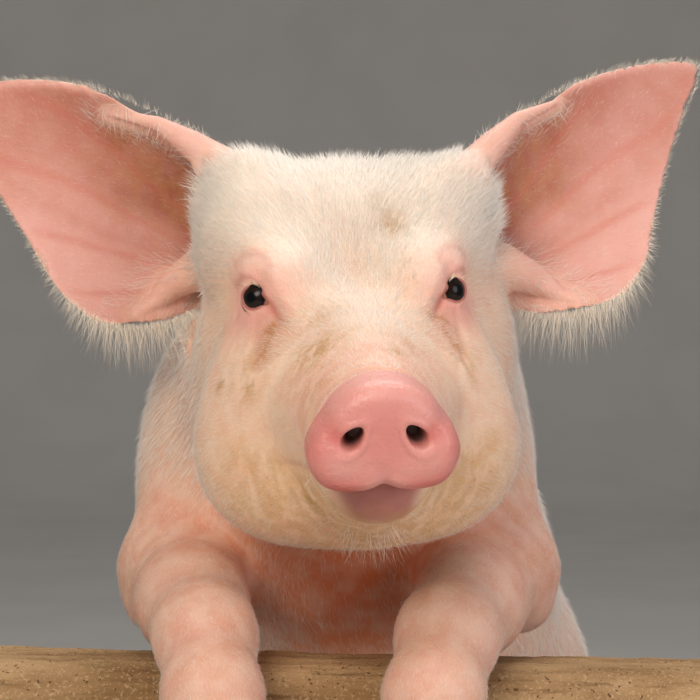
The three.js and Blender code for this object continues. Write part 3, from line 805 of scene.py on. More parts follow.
# An eye: dark brown iris and black pupil under a wet, clear cornea, which makes it a glossy bead.
# The attribute Iris is the angle from the middle of the pupil, in degrees.
def eye_material():
    material, tree = new_material("pig_eye")
    angle = attribute(tree, "Iris")
    streaks = noise(tree, object_place(tree), 0.0009, detail=3)
    iris = mix(tree, ramp(tree, streaks, 0.3, 0.7), linear("#110906"), linear("#22130B"))
    pupil = mix(tree, ramp(tree, angle, 12, 15), linear("#020202"), iris)
    limbus = mix(tree, ramp(tree, angle, 25, 31), pupil, linear("#080504"))
    white = mix(tree, ramp(tree, angle, 33, 38), limbus, linear("#9C6A5C"))
    surface(
        tree,
        {
            "Base Color": white,
            "Roughness": 0.3,
            "Coat Weight": 0.35,
            "Coat Roughness": 0.03,
            "Coat IOR": 1.38,
            "Specular IOR Level": 0.1,
        },
    )
    return material


# Hoof horn: waxy cream to brown, in thin growth rings across the claw, scuffed and a little dirty.
def horn_material():
    material, tree = new_material("claw_horn")
    place = object_place(tree)
    rings = noise(tree, place, 0.0012, (14, 14, 1), 2)
    cloud = noise(tree, place, 0.009, detail=3)
    base = mix(tree, ramp(tree, cloud, 0.35, 0.65), linear("#B79A78"), linear("#D9C4A4"))
    ringed = mix(tree, ramp(tree, rings, 0.35, 0.65, 0.0, 0.35), base, linear("#8A6A4A"))
    dirt = ramp(tree, noise(tree, place, 0.004, detail=4), 0.5, 0.7, 0.0, 0.5)
    dirty = mix(tree, dirt, ringed, linear("#6A5136"))
    scuffs = noise(tree, place, 0.0016, (1, 1, 4), 3)
    first = bumped(tree, rings, 0.0005, 0.6)
    surface(
        tree,
        {
            "Base Color": dirty,
            "Roughness": ramp(tree, scuffs, 0.3, 0.7, 0.38, 0.6),
            "Specular IOR Level": 0.45,
            "Normal": bumped(tree, scuffs, 0.0003, 0.35, first),
        },
    )
    return material


# An old rail of rough wood, its grain filled with dried sandy mud: tan and granular, with pale
# grit, dark specks and worn streaks along it.
def rail_material():
    material, tree = new_material("muddy_wood")
    place = object_place(tree)
    grain = noise(tree, place, 0.005, (12, 1, 1), 5, 0.6)
    cloud = noise(tree, place, 0.028, (2.5, 1, 1), 4)
    grit = noise(tree, place, 0.0016, detail=3, roughness=0.7)
    base = mix(tree, ramp(tree, cloud, 0.35, 0.65), linear("#8E6E4A"), linear("#B3946C"))
    streaked = mix(tree, ramp(tree, grain, 0.5, 0.72, 0.0, 0.75), base, linear("#6A4E32"))
    pale = mix(tree, ramp(tree, grit, 0.52, 0.68, 0.0, 0.7), streaked, linear("#C4AA84"))
    specks = ramp(tree, noise(tree, place, 0.0024, detail=2), 0.64, 0.70, 0.0, 0.85)
    dark = mix(tree, specks, pale, linear("#4A3522"))
    moss = ramp(tree, noise(tree, place, 0.045, detail=3), 0.56, 0.7, 0.0, 0.35)
    green = mix(tree, moss, dark, linear("#7E7448"))
    first = bumped(tree, grain, 0.0022, 0.7)
    second = bumped(tree, grit, 0.0014, 0.8, first)
    surface(tree, {"Base Color": green, "Roughness": 0.9, "Specular IOR Level": 0.2, "Normal": second})
    return material


# The stand: a satin painted board, with the faint orange peel of sprayed paint.
def paint_material():
    material, tree = new_material("satin_paint")
    place = object_place(tree)
    peel = noise(tree, place, 0.0018, detail=2)
    cloud = noise(tree, place, 0.12, detail=3)
    colour = mix(tree, ramp(tree, cloud, 0.3, 0.7), linear("#3B3D3E"), linear("#434547"))
    scuff = ramp(tree, noise(tree, place, 0.05, detail=4), 0.35, 0.75, 0.36, 0.46)
    fine = bumped(tree, peel, 0.0002, 0.3)
    surface(tree, {"Base Color": colour, "Roughness": scuff, "Normal": fine})
    return material


# The rods: bright drawn steel, with fine lines along them and faint finger dulling.
def steel_material():
    material, tree = new_material("drawn_steel")
    place = object_place(tree)
    lines = noise(tree, place, 0.0006, (1, 1, 60), 3)
    cloud = noise(tree, place, 0.03, detail=3)
    colour = mix(tree, ramp(tree, cloud, 0.3, 0.7), linear("#B4B6B8"), linear("#C6C7C9"))
    surface(
        tree,
        {
            "Base Color": colour,
            "Metallic": 1.0,
            "Roughness": ramp(tree, cloud, 0.3, 0.7, 0.26, 0.38),
            "Normal": bumped(tree, lines, 0.0001, 0.5),
        },
    )
    return material


# ------------------------------ settings ------------------------------


def colour_property(name, description, hex_code):
    return bpy.props.FloatVectorProperty(
        name=name,
        description=description,
        subtype="COLOR",
        size=3,
        min=0.0,
        max=1.0,
        default=linear(hex_code),
    )


def size_property(name, description, default, **kind):
    return bpy.props.FloatProperty(name=name, description=description, default=default, **kind)


class PigSkinSettings(bpy.types.PropertyGroup):
    grain: size_property(
        "Skin grain", "Size of the faces that the head's skin is drawn with", 0.0022, unit="LENGTH"
    )
    coat_depth: size_property(
        "Coat depth", "How far the trunk's skin lies inside the packed solids", 0.0012, unit="LENGTH"
    )
    lid_width: size_property(
        "Eye opening width",
        "Angle between the corners of an eye, seen from its middle",
        math.radians(58),
        subtype="ANGLE",
    )
    lid_height: size_property(
        "Eye opening height",
        "Angle between an eye's upper and lower lids, seen from its middle",
        math.radians(52),
        subtype="ANGLE",
    )


class PigColours(bpy.types.PropertyGroup):
    body: colour_property("Body", "Skin of the trunk under the coat", "#DDB196")
    head: colour_property("Head", "Skin of the cheeks", "#E6BFA2")
    pale: colour_property("Pale", "Skin of the forehead, and the palest mottling", "#F7EEDC")
    flush: colour_property("Flush", "Skin where the blood shows", "#D98F80")
    leg: colour_property("Leg", "Skin of the legs", "#D6A48D")
    # Chest: the skin's own redness between the forelegs, deepened into a warm painted shade where the
    # forelegs and head shade the chest
    chest: colour_property("Chest", "Reddened skin between the forelegs", "#E27A45")
    chin: colour_property("Chin", "Yellowed skin of the chin", "#D9AB74")
    ear: colour_property("Ear", "Bare inner face of an ear", "#C58373")
    # Ear hollow: the deep pink of the ear's cup and reddened spots, also painted as shade in the hollow
    # near its root and between its broad folds
    ear_deep_and_shade: colour_property("Ear hollow", "Deep pink of an ear's cup", "#A65A44")
    # Ear edge: paler pink painted as highlight on the ear's rim, the ridges of its broad folds and the
    # folds at its root, partly their own lighter colour
    ear_highlight: colour_property("Ear edge", "Paler edges of an ear's inner face", "#E6B0A6")
    ear_back: colour_property("Ear back", "Outer face of an ear", "#E3B5A2")
    snout: colour_property("Snout", "Moist skin of the snout's disc", "#D6938B")
    # Bloom: a painted highlight, the top of the disc made paler where light falls on its crown
    disc_top_highlight: colour_property("Bloom", "Paler top of the snout's disc", "#E5AAA0")
    # Lobe: the lower lobes' own redder pink, also painted as shade in the hollow beside each nostril and
    # in the middle of the disc
    lobe_red_and_shade: colour_property("Lobe", "Redder lower lobes of the snout", "#C4635E")
    lip: colour_property("Lip", "Mauve lower lip", "#A4635C")
    lid: colour_property("Lid", "Bare skin round the eyes", "#E8ABA0")
    # Lid rim: the lids' own moist red edge; the same red is painted as shade round the sunk edges of the
    # nostrils
    rim: colour_property("Lid rim", "Moist edges of the lids", "#94443E")
    # Nostril: near-black painted shade down the sunk nostrils
    nostril: colour_property("Nostril", "Dark inside of the nostrils", "#351310")
    vein: colour_property("Vein", "Veins and ridges of the ears", "#C66E5C")
    grime: colour_property("Grime", "Dried dirt and tear stains", "#B98A50")
    speck: colour_property("Speck", "Dark specks of dirt", "#4A3222")
    # Crease: painted shade in the skin's folds and hollows
    crease_shade: colour_property("Crease", "Shaded folds of skin", "#A8503E")
    bristle: colour_property("Bristle", "Cream bristles", "#FFF8EE")


class PigCoatSettings(bpy.types.PropertyGroup):
    width: size_property("Bristle width", "Width of a bristle at its root", 0.00021, unit="LENGTH")
    density: size_property(
        "Coat density", "Bristles for each one that the skin's own cover asks for", 1.0, min=0.0
    )


# ------------------------------ skin ------------------------------

SKIN = "pig_skin"
BAKE_MAP = "OFBake"
FLESH = ("head", "lower_jaw", "snout", "neck", "trunk_chest", "trunk_belly", "trunk_rump", "tail")
LIMBS = tuple(
    f"{leg}_{side}_{part}"
    for side in SIDES
    for leg, parts in (("foreleg", ("forearm", "foot")), ("hindleg", ("shank", "foot")))
    for part in parts
)
EARS = tuple(f"ear_{side}" for side in SIDES)
OVERLAP = 0.35 * MM  # each part is swelled by this, so the thin cuts between them close
EAR_SOURCE = 2.0  # an ear's least half thickness while the parts are fused, so that its rim isn't lost


def ear_source(name):
    """An ear drawn finely over its own sheet, as a closed mesh."""
    ear, ball = new_ball(120, 32)
    flat = np.minimum(np.hypot(ball[:, 0], ball[:, 1]), 1)
    share = (np.arcsin(flat) / (np.pi / 2)) ** 0.9
    angle = np.arctan2(ball[:, 1], ball[:, 0])
    angles, radii = EAR_RADII[name]
    edge = np.interp(angle, angles, radii, period=2 * np.pi)
    along = EAR_MIDDLE[0] + share * edge * np.cos(angle)
    across = EAR_MIDDLE[1] + share * edge * np.sin(angle)
    leather = np.maximum(ear_half_thickness(along, share * 0), EAR_SOURCE)
    thick = leather * np.sqrt(np.maximum(1 - share**24, 0)) * np.where(ball[:, 2] < 0, -1, 1)
    local = np.stack([along, ear_depth(along, across) + thick, across], axis=1)
    write_places(ear.data, to_world(from_ear(local, name)))
    merge_doubles(ear, facing_out=True)
    return ear


PLUG_HALF = (7.5, 12.5, 9)


def plug(side):
    """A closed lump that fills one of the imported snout's pits, where a nostril is sunk later."""
    lump, ball = new_ball(24, 16)
    middle = on_head(DISC["face"] - 13, side * NOSTRIL["out"], NOSTRIL["up"])
    write_places(lump.data, to_world(from_head(ball * PLUG_HALF + middle)))
    return lump


def fold_lumps(name):
    """Closed lumps that fill an ear's folds, one between each two joints."""
    lumps = []
    for joints in fold_joints(name):
        for (start, near), (end, far) in zip(joints, joints[1:]):
            lump, ball = new_ball(24, 16)
            beyond = (ball @ unit(end - start) > 0)[:, None]
            places = np.where(beyond, end + ball * far, start + ball * near)
            write_places(lump.data, to_world(places))
            lumps.append(lump)
    return lumps


def fused_flesh(grain):
    """All the flesh as one closed mesh of even faces."""
    parts = [lump for name in SIDES for lump in fold_lumps(name)]
    for name in FLESH + LIMBS + ("eye_right", "eye_left"):
        part = copy_node(name)
        swell = OVERLAP * (2.5 if name.startswith("eye") else 1)
        apply_modifier(part, "DISPLACE", strength=swell, mid_level=0.0)
        parts.append(part)
    parts += [ear_source(name) for name in SIDES] + both(plug)
    select_only(*parts)
    bpy.ops.object.join()
    skin = bpy.context.object
    apply_modifier(skin, "REMESH", mode="VOXEL", voxel_size=grain, adaptivity=0)
    return skin


def thin_out(skin, chosen, kept):
    """Thins the faces round the chosen points, until the given share of them is left."""
    group = skin.vertex_groups.new(name="thinned")
    group.add(np.flatnonzero(chosen).tolist(), 1.0, "REPLACE")
    apply_modifier(
        skin,
        "DECIMATE",
        ratio=1 - (1 - kept) * chosen[read_corners(skin.data)].mean(),
        vertex_group=group.name,
        vertex_group_factor=10.0,
        use_collapse_triangulate=True,
    )
    skin.vertex_groups.clear()


def refine(skin, wanted):
    """Splits once more the faces whose middles the test picks."""
    mesh = skin.data
    chosen = wanted(read_middles(mesh))
    select_only(skin)
    bpy.ops.object.mode_set(mode="EDIT")
    bpy.ops.mesh.select_mode(type="FACE")
    bpy.ops.mesh.select_all(action="DESELECT")
    bpy.ops.object.mode_set(mode="OBJECT")
    mesh.polygons.foreach_set("select", chosen)
    bpy.ops.object.mode_set(mode="EDIT")
    bpy.ops.mesh.subdivide(number_cuts=1)
    bpy.ops.object.mode_set(mode="OBJECT")


def near_eyes(points, reach):
    return eye_distance(to_head(points)) < reach


def near_lid_edges(points):
    opening = nearer_opening(to_head(points))
    return (opening > 0.74) & (opening < 1.24)


def near_snout(points):
    local = to_head(points)
    return (-local[:, 1] > 98) & (local[:, 2] < 20) & (local[:, 2] > -64)


def near_nostrils(points):
    local = to_head(points)
    away = np.hypot(np.abs(local[:, 0]) - NOSTRIL["out"], local[:, 2] - NOSTRIL["up"])
    return (away < 9.5) & (-local[:, 1] > 118)


def ear_weight(points, outside):
    """How much of each point belongs to an ear, and which ear is nearer."""
    which = np.where(points[:, 0] < 2, "right", "left")
    weight = smoothstep(0.5, 6.0, outside) * (points[:, 2] > 600) * (points[:, 1] > 30)
    for name, mine, (along, depth, across) in each_ear(points, weight, which):
        off = np.abs(depth - ear_depth(along, across))
        beyond = smoothstep(1.2, 1.4, ear_share(along, across, name))
        weight[mine] *= (1 - beyond) * (1 - smoothstep(22, 30, off))
    return weight, which


def each_ear(points, weight, which):
    """For each ear, which points are its own and their places in its frame."""
    for name in SIDES:
        mine = (weight > 0) & (which == name)
        yield name, mine, to_ear(points[mine], name).T


def outward(points, step=0.4):
    """Which way is out of the flesh, from four samples of its field round each point."""
    corners = np.array([(1, -1, -1), (-1, -1, 1), (-1, 1, -1), (1, 1, 1)], float)
    return unit(sum(body_field(points + step * k)[:, None] * k for k in corners))


def settle(points, depth, hold, times):
    """Moves points to where the flesh is the given depth under its surface."""
    for _ in range(times):
        step = np.clip(body_field(points) + depth, -3, 3) * hold
        points = points - outward(points) * step[:, None]
    return points


LEAST_FACING = 0.3  # a face turned further than this from the outward way counts as turned over


def turned_over(mesh):
    """1 at the corners of faces that look inwards, and at their neighbours."""
    facing = (read(mesh.polygons, "normal", 3) * outward(read_middles(mesh))).sum(1)
    sides = read(mesh.polygons, "loop_total", kind=np.int32)
    marked = np.zeros(len(mesh.vertices))
    marked[read_corners(mesh)[np.repeat(facing < LEAST_FACING, sides)]] = 1
    edges = read_edges(mesh)
    spread = marked[edges].max(1)
    np.maximum.at(marked, edges.ravel(), np.repeat(spread, 2))
    return marked


def snap_ears(points, normals, outside):
    """Lays the ears' points on their own thin sheets, with a clean line of points along each rim."""
    weight, which = ear_weight(points, outside)
    for name, mine, (along, depth, across) in each_ear(points, weight, which):
        facing = (normals[mine] @ ear_turn(name)) * (SIDES[name], 1, 1)
        share = ear_share(along, across, name)
        spoke = np.stack([along - EAR_MIDDLE[0], across - EAR_MIDDLE[1]], axis=1)
        sideways = (unit(spoke) * facing[:, [0, 2]]).sum(1)
        rim = smoothstep(0.35, 0.7, sideways) * smoothstep(0.82, 0.9, share)
        pull = (np.minimum(share, 0.975) * (1 - rim) + 0.995 * rim) / np.maximum(share, 1e-6)
        along, across = EAR_MIDDLE[0] + spoke[:, 0] * pull, EAR_MIDDLE[1] + spoke[:, 1] * pull
        share = share * pull
        middle = ear_depth(along, across)
        front = depth < middle
        thick = ear_half_thickness(along, share)
        relief = ear_relief(along, across, share, front)
        new_depth = middle + np.where(front, -thick, thick) + relief
        moved = from_ear(np.stack([along, new_depth, across], axis=1), name)
        keep = weight[mine][:, None]
        points[mine] = points[mine] * (1 - keep) + moved * keep
    return points


def chest_shade_share(points):
    """1 on the hollow of the chest between the forelegs, fading out round it: where warm painted shade is
    laid on the skin.
    """
    x, y, z = points.T
    return bump(x, 62) * smoothstep(575, 545, z) * smoothstep(145, 105, y) * smoothstep(20, 50, y)


def foot_hold(points):
    """0 at the flat ends of the feet, where the claws join on, and 1 above them."""
    hold = np.ones(len(points))
    for name in SIDES:
        coronet = np.array(FORE_JOINTS[name][-1][0])
        frame_turn = turn("x", 28)
        sole = coronet - frame_turn @ (0, 0, 21) + (0, -3, 0)
        up = ((points - sole) @ frame_turn)[:, 2]
        near = np.linalg.norm(points - coronet, axis=1) < 45
        hold = np.where(near, np.minimum(hold, smoothstep(24.5, 33, up)), hold)
    hind = points[:, 2] < 90
    return np.where(hind, smoothstep(43, 52, points[:, 2]), hold)


# The face, in the head's frame.


def away_from(local, line):
    """Distance to a line through a few places."""
    nearest = np.full(len(local), 1e3)
    for a, b in zip(np.array(line, float), np.array(line[1:], float)):
        share = np.clip(((local - a) @ (b - a)) / ((b - a) @ (b - a)), 0, 1)
        nearest = np.minimum(nearest, np.linalg.norm(local - a - share[:, None] * (b - a), axis=1))
    return nearest


def opening_of(local, side):
    """How far out of an eye's opening each point is: 0 in its middle and 1 at the lids' edge."""
    settings = bpy.context.scene.pig_skin
    gaze, outer, above = eye_axes(side)
    heading = unit(local - eye_centre(side))
    u = np.arctan2(heading @ outer, heading @ gaze) / (settings.lid_width / 2)
    v = np.arctan2(heading @ above, heading @ gaze)
    v = v / (settings.lid_height * np.where(v > 0, 0.53, 0.47))
    bearing = np.arctan2(v, u)
    corner = 1 + 0.16 * bump(bearing - math.pi, 0.5) + 0.16 * bump(bearing + math.pi, 0.5)
    far = np.linalg.norm(local - eye_centre(side), axis=1)
    close = (heading @ gaze > 0.05) & (far < EYE["radius"] + 22)
    return np.where(close, np.hypot(u, v) / corner, 9.0)


def nearer_opening(local):
    return np.minimum(*both(lambda side: opening_of(local, side)))


def shape_lids(local, side):
    """Lays the lids on one eyeball, with the opening between them sunk behind it."""
    centre = eye_centre(side)
    away = local - centre
    far = np.linalg.norm(away, axis=1)
    e = opening_of(local, side)
    radius = EYE["radius"]
    lid = radius + 0.35 + 1.3 * smoothstep(1.0, 1.6, e)
    hug = 1 - smoothstep(1.15, 2.1, e)
    wanted = lid * hug + far * (1 - hug)
    wanted = np.where(e < 1, radius - 2.6 + 3.05 * smoothstep(0.88, 1.0, e), wanted)
    new = np.where(e < 2.2, wanted, far)
    return centre + unit(away) * new[:, None]


# Soft lines round each eye, as places ahead, out and up on the head, and how deep and broad each
# is: the fold of the upper lid, the fold under the brow, the line down from the inner corner, the
# groove that tears run down, the crease under the eye and a broad hollow over the lid. The last one
# swells instead, beside the bridge.
EYE_LINES = (
    (((-16, 53.7, -0.7), (-6, 50.5, 6.5), (2, 47.5, 9.5), (8.5, 42.5, 8)), 0.75, 1.5),
    (((-17, 53.5, 9.8), (-10, 46, 18.5), (-3, 40.5, 20), (5, 37.8, 16)), 0.4, 1.8),
    (((11, 41.4, 2), (14, 38.5, 1), (18.5, 35.4, -2), (20.3, 34.5, -2.9)), 1.2, 1.6),
    (((20.3, 34.5, -2.9), (20.8, 39.2, -7.5), (25.5, 41.7, -11.7), (33, 46, -19)), 0.8, 3.4),
    (((-6, 56, -14), (6, 52, -13), (14, 46, -9)), 0.4, 2.0),
    (((-11, 50, 11), (-3, 46.5, 14.5), (3, 43, 14)), 1.0, 5.0),
    (((8, 33, 12), (14, 32.5, 6), (20, 30, 1)), -0.5, 6.0),
)
TEAR_LINE = 3


def shape_eye_lines(local, normals):
    """Presses the soft lines round the eyes. Gives the points and how deep each lies in a line."""
    fold = np.zeros(len(local))
    for side in SIDES.values():
        centre = eye_centre(side)
        level = EYE["radius"] + 3
        far = np.linalg.norm(local - centre, axis=1)
        flat = centre + unit(local - centre) * level
        for line, deep, broad in EYE_LINES:
            places = [centre + unit(on_head(a, side * o, u) - centre) * level for a, o, u in line]
            cut = bump(away_from(flat, places) * far / level, broad) * (far < 42)
            local = local - normals * (deep * cut)[:, None]
            fold = np.maximum(fold, cut * max(deep, 0) * 0.9 * (broad < 4))
    return local, fold


def shape_snout(local, normals):
    """Nostrils, full lower lobes and the small hollows of the snout's disc."""
    on_disc = (disc_field(local) < 3) & (-local[:, 1] > 116)
    lean = math.radians(NOSTRIL["lean"])
    dark = np.zeros(len(local))
    for side in SIDES.values():
        x = side * local[:, 0] - NOSTRIL["out"]
        up = local[:, 2] - NOSTRIL["up"]
        a = x * math.cos(lean) + up * math.sin(lean)
        b = up * math.cos(lean) - x * math.sin(lean)
        e = np.hypot(a / (NOSTRIL["wide"] * (1 - 0.03 * b)), b / NOSTRIL["tall"])
        pit = (1 - smoothstep(0.5, 1.12, e)) * on_disc
        swell = 0.7 * bump(e - 1.5, 0.35) * on_disc
        swell = swell - 1.7 * bump(np.hypot(x - 7, up - 0.5), 4.6) * on_disc
        swell = swell + 1.5 * bump(np.hypot(x - 7, up + 10), 6.5) * on_disc
        swell = swell * (side * local[:, 0] > 0)
        pit = pit * (side * local[:, 0] > 0)
        local = local + normals * swell[:, None]
        local[:, 1] += NOSTRIL["deep"] * pit
        local[:, 0] += side * -1.5 * pit
        dark = np.maximum(dark, pit)
    out, up = local[:, 0], local[:, 2]
    furrow = bump(out, 3.2) * smoothstep(-16, -28, up) * on_disc
    local = local - normals * (0.6 * furrow)[:, None]
    return local, dark


MOUTH_LINE = ((140, -36), (108, -38), (62, -52), (46, -60))


def shape_mouth(local, normals):
    """Cuts the line of the mouth between its lips."""
    ahead, out, up = -local[:, 1], local[:, 0], local[:, 2]
    line = np.array(MOUTH_LINE)[::-1]
    lift = up - np.interp(ahead, line[:, 0], line[:, 1]) - 2.5 * bump(out, 4.5)
    strength = 1 - 0.7 * smoothstep(16, 26, np.abs(out))
    along = smoothstep(54, 66, ahead) * (up < -22) * strength * (disc_field(local) > 0.8)
    groove = -2.4 * bump(lift, 1.6) * along
    lower = 0.7 * bump(lift + 4.6, 3.0) * along
    return local + normals * (groove + lower)[:, None], bump(lift, 2.0) * along


def shape_bridge(local, normals):
    """The faint folds across the bridge, just behind the disc."""
    ahead, out, up = -local[:, 1], local[:, 0], local[:, 2]
    fold = np.zeros(len(local))
    for place, deep in ((108, 0.9), (101.5, 0.6), (94, 0.4)):
        bend = place - 0.012 * out**2 + 0.6 * np.sin(out / 5)
        cut = bump(ahead - bend, 1.5) * smoothstep(-36, -26, up)
        local = local - normals * (deep * cut)[:, None]
        fold = np.maximum(fold, cut * deep * 0.4)
    return local, fold


def shape_body(points, normals):
    """Soft skin folds on the arms and down the chest."""
    fold = np.zeros(len(points))
    x, y, z = points.T
    for name, side in SIDES.items():
        elbow, forearm = (np.array(FORE_JOINTS[name][k][0]) for k in (1, 3))
        axis = unit(forearm - elbow)
        along = (points - elbow) @ axis
        near = bump(np.linalg.norm(points - elbow - axis * 22, axis=1), 42)
        for place, deep in ((12, 1.0), (24, 0.8), (37, 0.6)):
            wave = place + 2.2 * np.sin((x + z) / 9)
            cut = bump(along - wave, 1.8) * near
            points = points - normals * (deep * cut)[:, None]
            fold = np.maximum(fold, 0.4 * cut)
    return points, fold


# Stains of dried dirt and tears, as places ahead, out and up on the head, with a size and strength.
STAINS = (
    ((-19, 18, 25), 7, 1.0),
    ((-29, 12, 27), 8, 0.6),
    ((60, -21, -2), 17, 0.85),
    ((64, -19, 0), 8, 0.8),
    ((30, -17, 3), 14, 0.5),
    ((82, 11, 5), 7, 0.8),
    ((66, 16, 4), 12, 0.5),
    ((84, -25, -7), 12, 0.6),
    ((20, -61, -33), 4, 1.0),
    ((30, -50, -22), 16, 0.5),
    ((31, -44, -18), 5, 1.0),
    ((37, -49, -26), 7, 0.8),
    ((24, -40, -9), 4, 0.9),
    ((22, 39, -9), 3.5, 1.0),
    ((28, 43, -14), 4.5, 1.0),
    ((34, 47, -22), 9, 0.6),
    ((75, -26, -63), 8, 1.0),
    ((70, -20, -68), 12, 0.7),
)
EAR_STAINS = ((58, 22), (46, -6), (30, 14))  # reddened, dirty places, along an ear and across it


class PIG_OT_skin(bpy.types.Operator):
    """Grows one skin over all the flesh, from the trunk to the ears, snout and feet"""

    bl_idname = "pig.skin"
    bl_label = "Skin"

    def execute(self, context):
        settings = context.scene.pig_skin
        skin = fused_flesh(settings.grain)
        for kept, back, low in ((0.27, -1e3, -1e3), (0.42, 150, 340)):
            points = to_figure(read_places(skin.data))
            fine = (head_field(points) < 7) & (points[:, 1] < 75) | (TAIL_FORM(points) < 4)
            fine |= ear_weight(points, body_field(points))[0] > 0
            forward = (points[:, 1] < back) & (points[:, 2] > low)
            thin_out(skin, ~fine & ~forward, kept)
        refine(skin, lambda p: near_eyes(p, 26) | near_snout(p))
        refine(skin, lambda p: near_eyes(p, 14.5) | near_nostrils(p))
        refine(skin, near_lid_edges)
        self.sculpt(skin, settings)
        self.paint(skin, context.scene.pig_colours)
        select_only(skin)
        bpy.ops.object.shade_smooth()
        self.unwrap(skin)
        material = skin_material(context.scene.pig_colours)
        finish_piece(skin, SKIN, material, "skin", *FLESH, *LIMBS, *EARS)
        return {"FINISHED"}

    def unwrap(self, skin):
        select_only(skin)
        skin.data.uv_layers.new(name=BAKE_MAP)
        bpy.ops.object.mode_set(mode="EDIT")
        bpy.ops.mesh.select_all(action="SELECT")
        bpy.ops.uv.smart_project(angle_limit=1.15, island_margin=0.004, scale_to_bounds=True)
        bpy.ops.object.mode_set(mode="OBJECT")

    def sculpt(self, skin, settings):
        mesh = skin.data
        edges = read_edges(mesh)
        points = to_figure(read_places(mesh))
        outside = body_field(points)
        hold = (1 - smoothstep(0.1, 0.8, ear_weight(points, outside)[0])) * foot_hold(points)
        snout = 1 - smoothstep(2, 10, disc_field(to_head(points)))
        face = 1 - smoothstep(4, 14, head_field(points))
        depth = settings.coat_depth / MM * (1 - 0.5 * face) * (1 - snout)
        points = settle(points, depth, hold, 3)
        points = relax(points, edges, 0.5 * (hold > 0.5), 2)
        points = settle(points, depth, hold, 1)
        for _ in range(4):
            write_places(mesh, to_world(points))
            turned = turned_over(mesh) * (hold > 0.9)
            points = relax(points, edges, 0.8 * turned, 5)
            points = settle(points, depth, hold * (turned > 0), 1)
        write_places(mesh, to_world(points))
        for _ in range(2):
            points = snap_ears(points, read_normals(mesh), outside)
            points = relax(points, edges, 0.4 * ear_weight(points, outside)[0], 2)
            write_places(mesh, to_world(points))
        points = snap_ears(points, read_normals(mesh), outside)
        root = smoothstep(0.2, 2.5, outside) * (1 - smoothstep(7, 12, outside)) * (points[:, 2] > 600)
        points = relax(points, edges, 0.55 * root * (points[:, 1] > 25), 14)
        points = relax(points, edges, 0.25 * ear_weight(points, outside)[0], 1)
        write_places(mesh, to_world(points))
        points, folds = shape_body(points, read_normals(mesh))
        face = head_field(points) < 6
        local = to_head(points[face])
        for side in SIDES.values():
            local = shape_lids(local, side)
        points[face] = from_head(local)
        write_places(mesh, to_world(points))
        points = relax(points, edges, 0.35 * near_eyes(points, 24), 1)
        write_places(mesh, to_world(points))
        normals = read_normals(mesh)[face] @ HEAD_TURN
        local = to_head(points[face])
        local, fold = shape_eye_lines(local, normals)
        local, dark = shape_snout(local, normals)
        for shape in (shape_bridge, shape_mouth):
            local, cut = shape(local, normals)
            fold = np.maximum(fold, cut)
        points[face] = from_head(local)
        write_places(mesh, to_world(points))
        folds[face] = np.maximum(folds[face], fold)
        opening = np.full(len(points), 9.0)
        opening[face] = nearer_opening(local)
        nostril = np.zeros(len(points))
        nostril[face] = dark
        for name, values in (("Fold", folds), ("Opening", opening), ("Nostril", nostril)):
            set_scalar(mesh, name, values)

    def paint(self, skin, colours):
        mesh = skin.data
        points = to_figure(read_places(mesh))
        normals = read_normals(mesh)
        edges = read_edges(mesh)
        opening = get_scalar(mesh, "Opening")
        folds = get_scalar(mesh, "Fold")
        local = to_head(points)
        ahead, out, up = -local[:, 1], local[:, 0], local[:, 2]
        outside = body_field(points)
        head = 1 - smoothstep(2, 30, head_field(points))
        leg = np.zeros(len(points))
        trunk = trunk_field(points)
        for own, _ in LEG_FIELDS:
            leg = np.maximum(leg, smoothstep(-6, 14, trunk) * (1 - smoothstep(2, 12, own(points))))
        tone = np.tile(tuple(colours.body), (len(points), 1))
        bare = np.zeros(len(points))
        grime = np.full(len(points), 0.06)
        vein = np.zeros(len(points))

        def over(colour, mask):
            nonlocal tone
            tone = tone * (1 - mask[:, None]) + np.array(colour) * mask[:, None]

        over(colours.leg, leg * 0.9)
        # painted shade: the chest between the forelegs takes a deep warm red for the shade that falls
        # there
        over(colours.chest, chest_shade_share(points) * 0.95)
        over(colours.head, head)
        over(colours.pale, head * smoothstep(-5, 30, up) * 0.55 * (1 - smoothstep(30, 80, ahead)))
        over(colours.flush, head * smoothstep(45, 80, ahead) * smoothstep(-30, -10, up) * 0.3)
        chin = smoothstep(-40, -58, up) * head * smoothstep(20, 60, ahead)
        over(colours.chin, chin * 0.55)
        # round the eyes
        from_eye = eye_distance(local)
        over(colours.lid, (1 - smoothstep(15, 31, from_eye)) * 0.6)
        over(colours.lid, (1 - smoothstep(12, 19, from_eye)) * 0.6)
        over(colours.rim, (1 - smoothstep(1.08, 1.42, opening)) * 0.9)
        bare = np.maximum(bare, 1 - smoothstep(13.5, 19.5, from_eye))
        # snout and lip
        beside = disc_field(local)
        disc = (1 - smoothstep(0.4, 2.0, beside)) * smoothstep(111, 114, ahead)
        disc = np.maximum(disc, smoothstep(123, 127, ahead) * (1 - smoothstep(3, 5, beside)))
        over(colours.snout, disc)
        lobes = disc * smoothstep(-22, -32, up) * smoothstep(3, 14, np.abs(out))
        over(colours.lobe_red_and_shade, lobes * 0.9)
        over(colours.lobe_red_and_shade, disc * smoothstep(17, 28, np.abs(out)) * 0.5)
        # painted shade: the hollow beside each nostril and the middle of the disc darkened with the lobes'
        # red
        beside_nostril = np.hypot(np.abs(out) - NOSTRIL["out"] - 6.5, up - NOSTRIL["up"] - 0.5)
        over(colours.lobe_red_and_shade, disc * bump(beside_nostril, 4.5) * 0.75)
        over(colours.lobe_red_and_shade, disc * bump(out, 11) * bump(up + 12, 17) * 0.4)
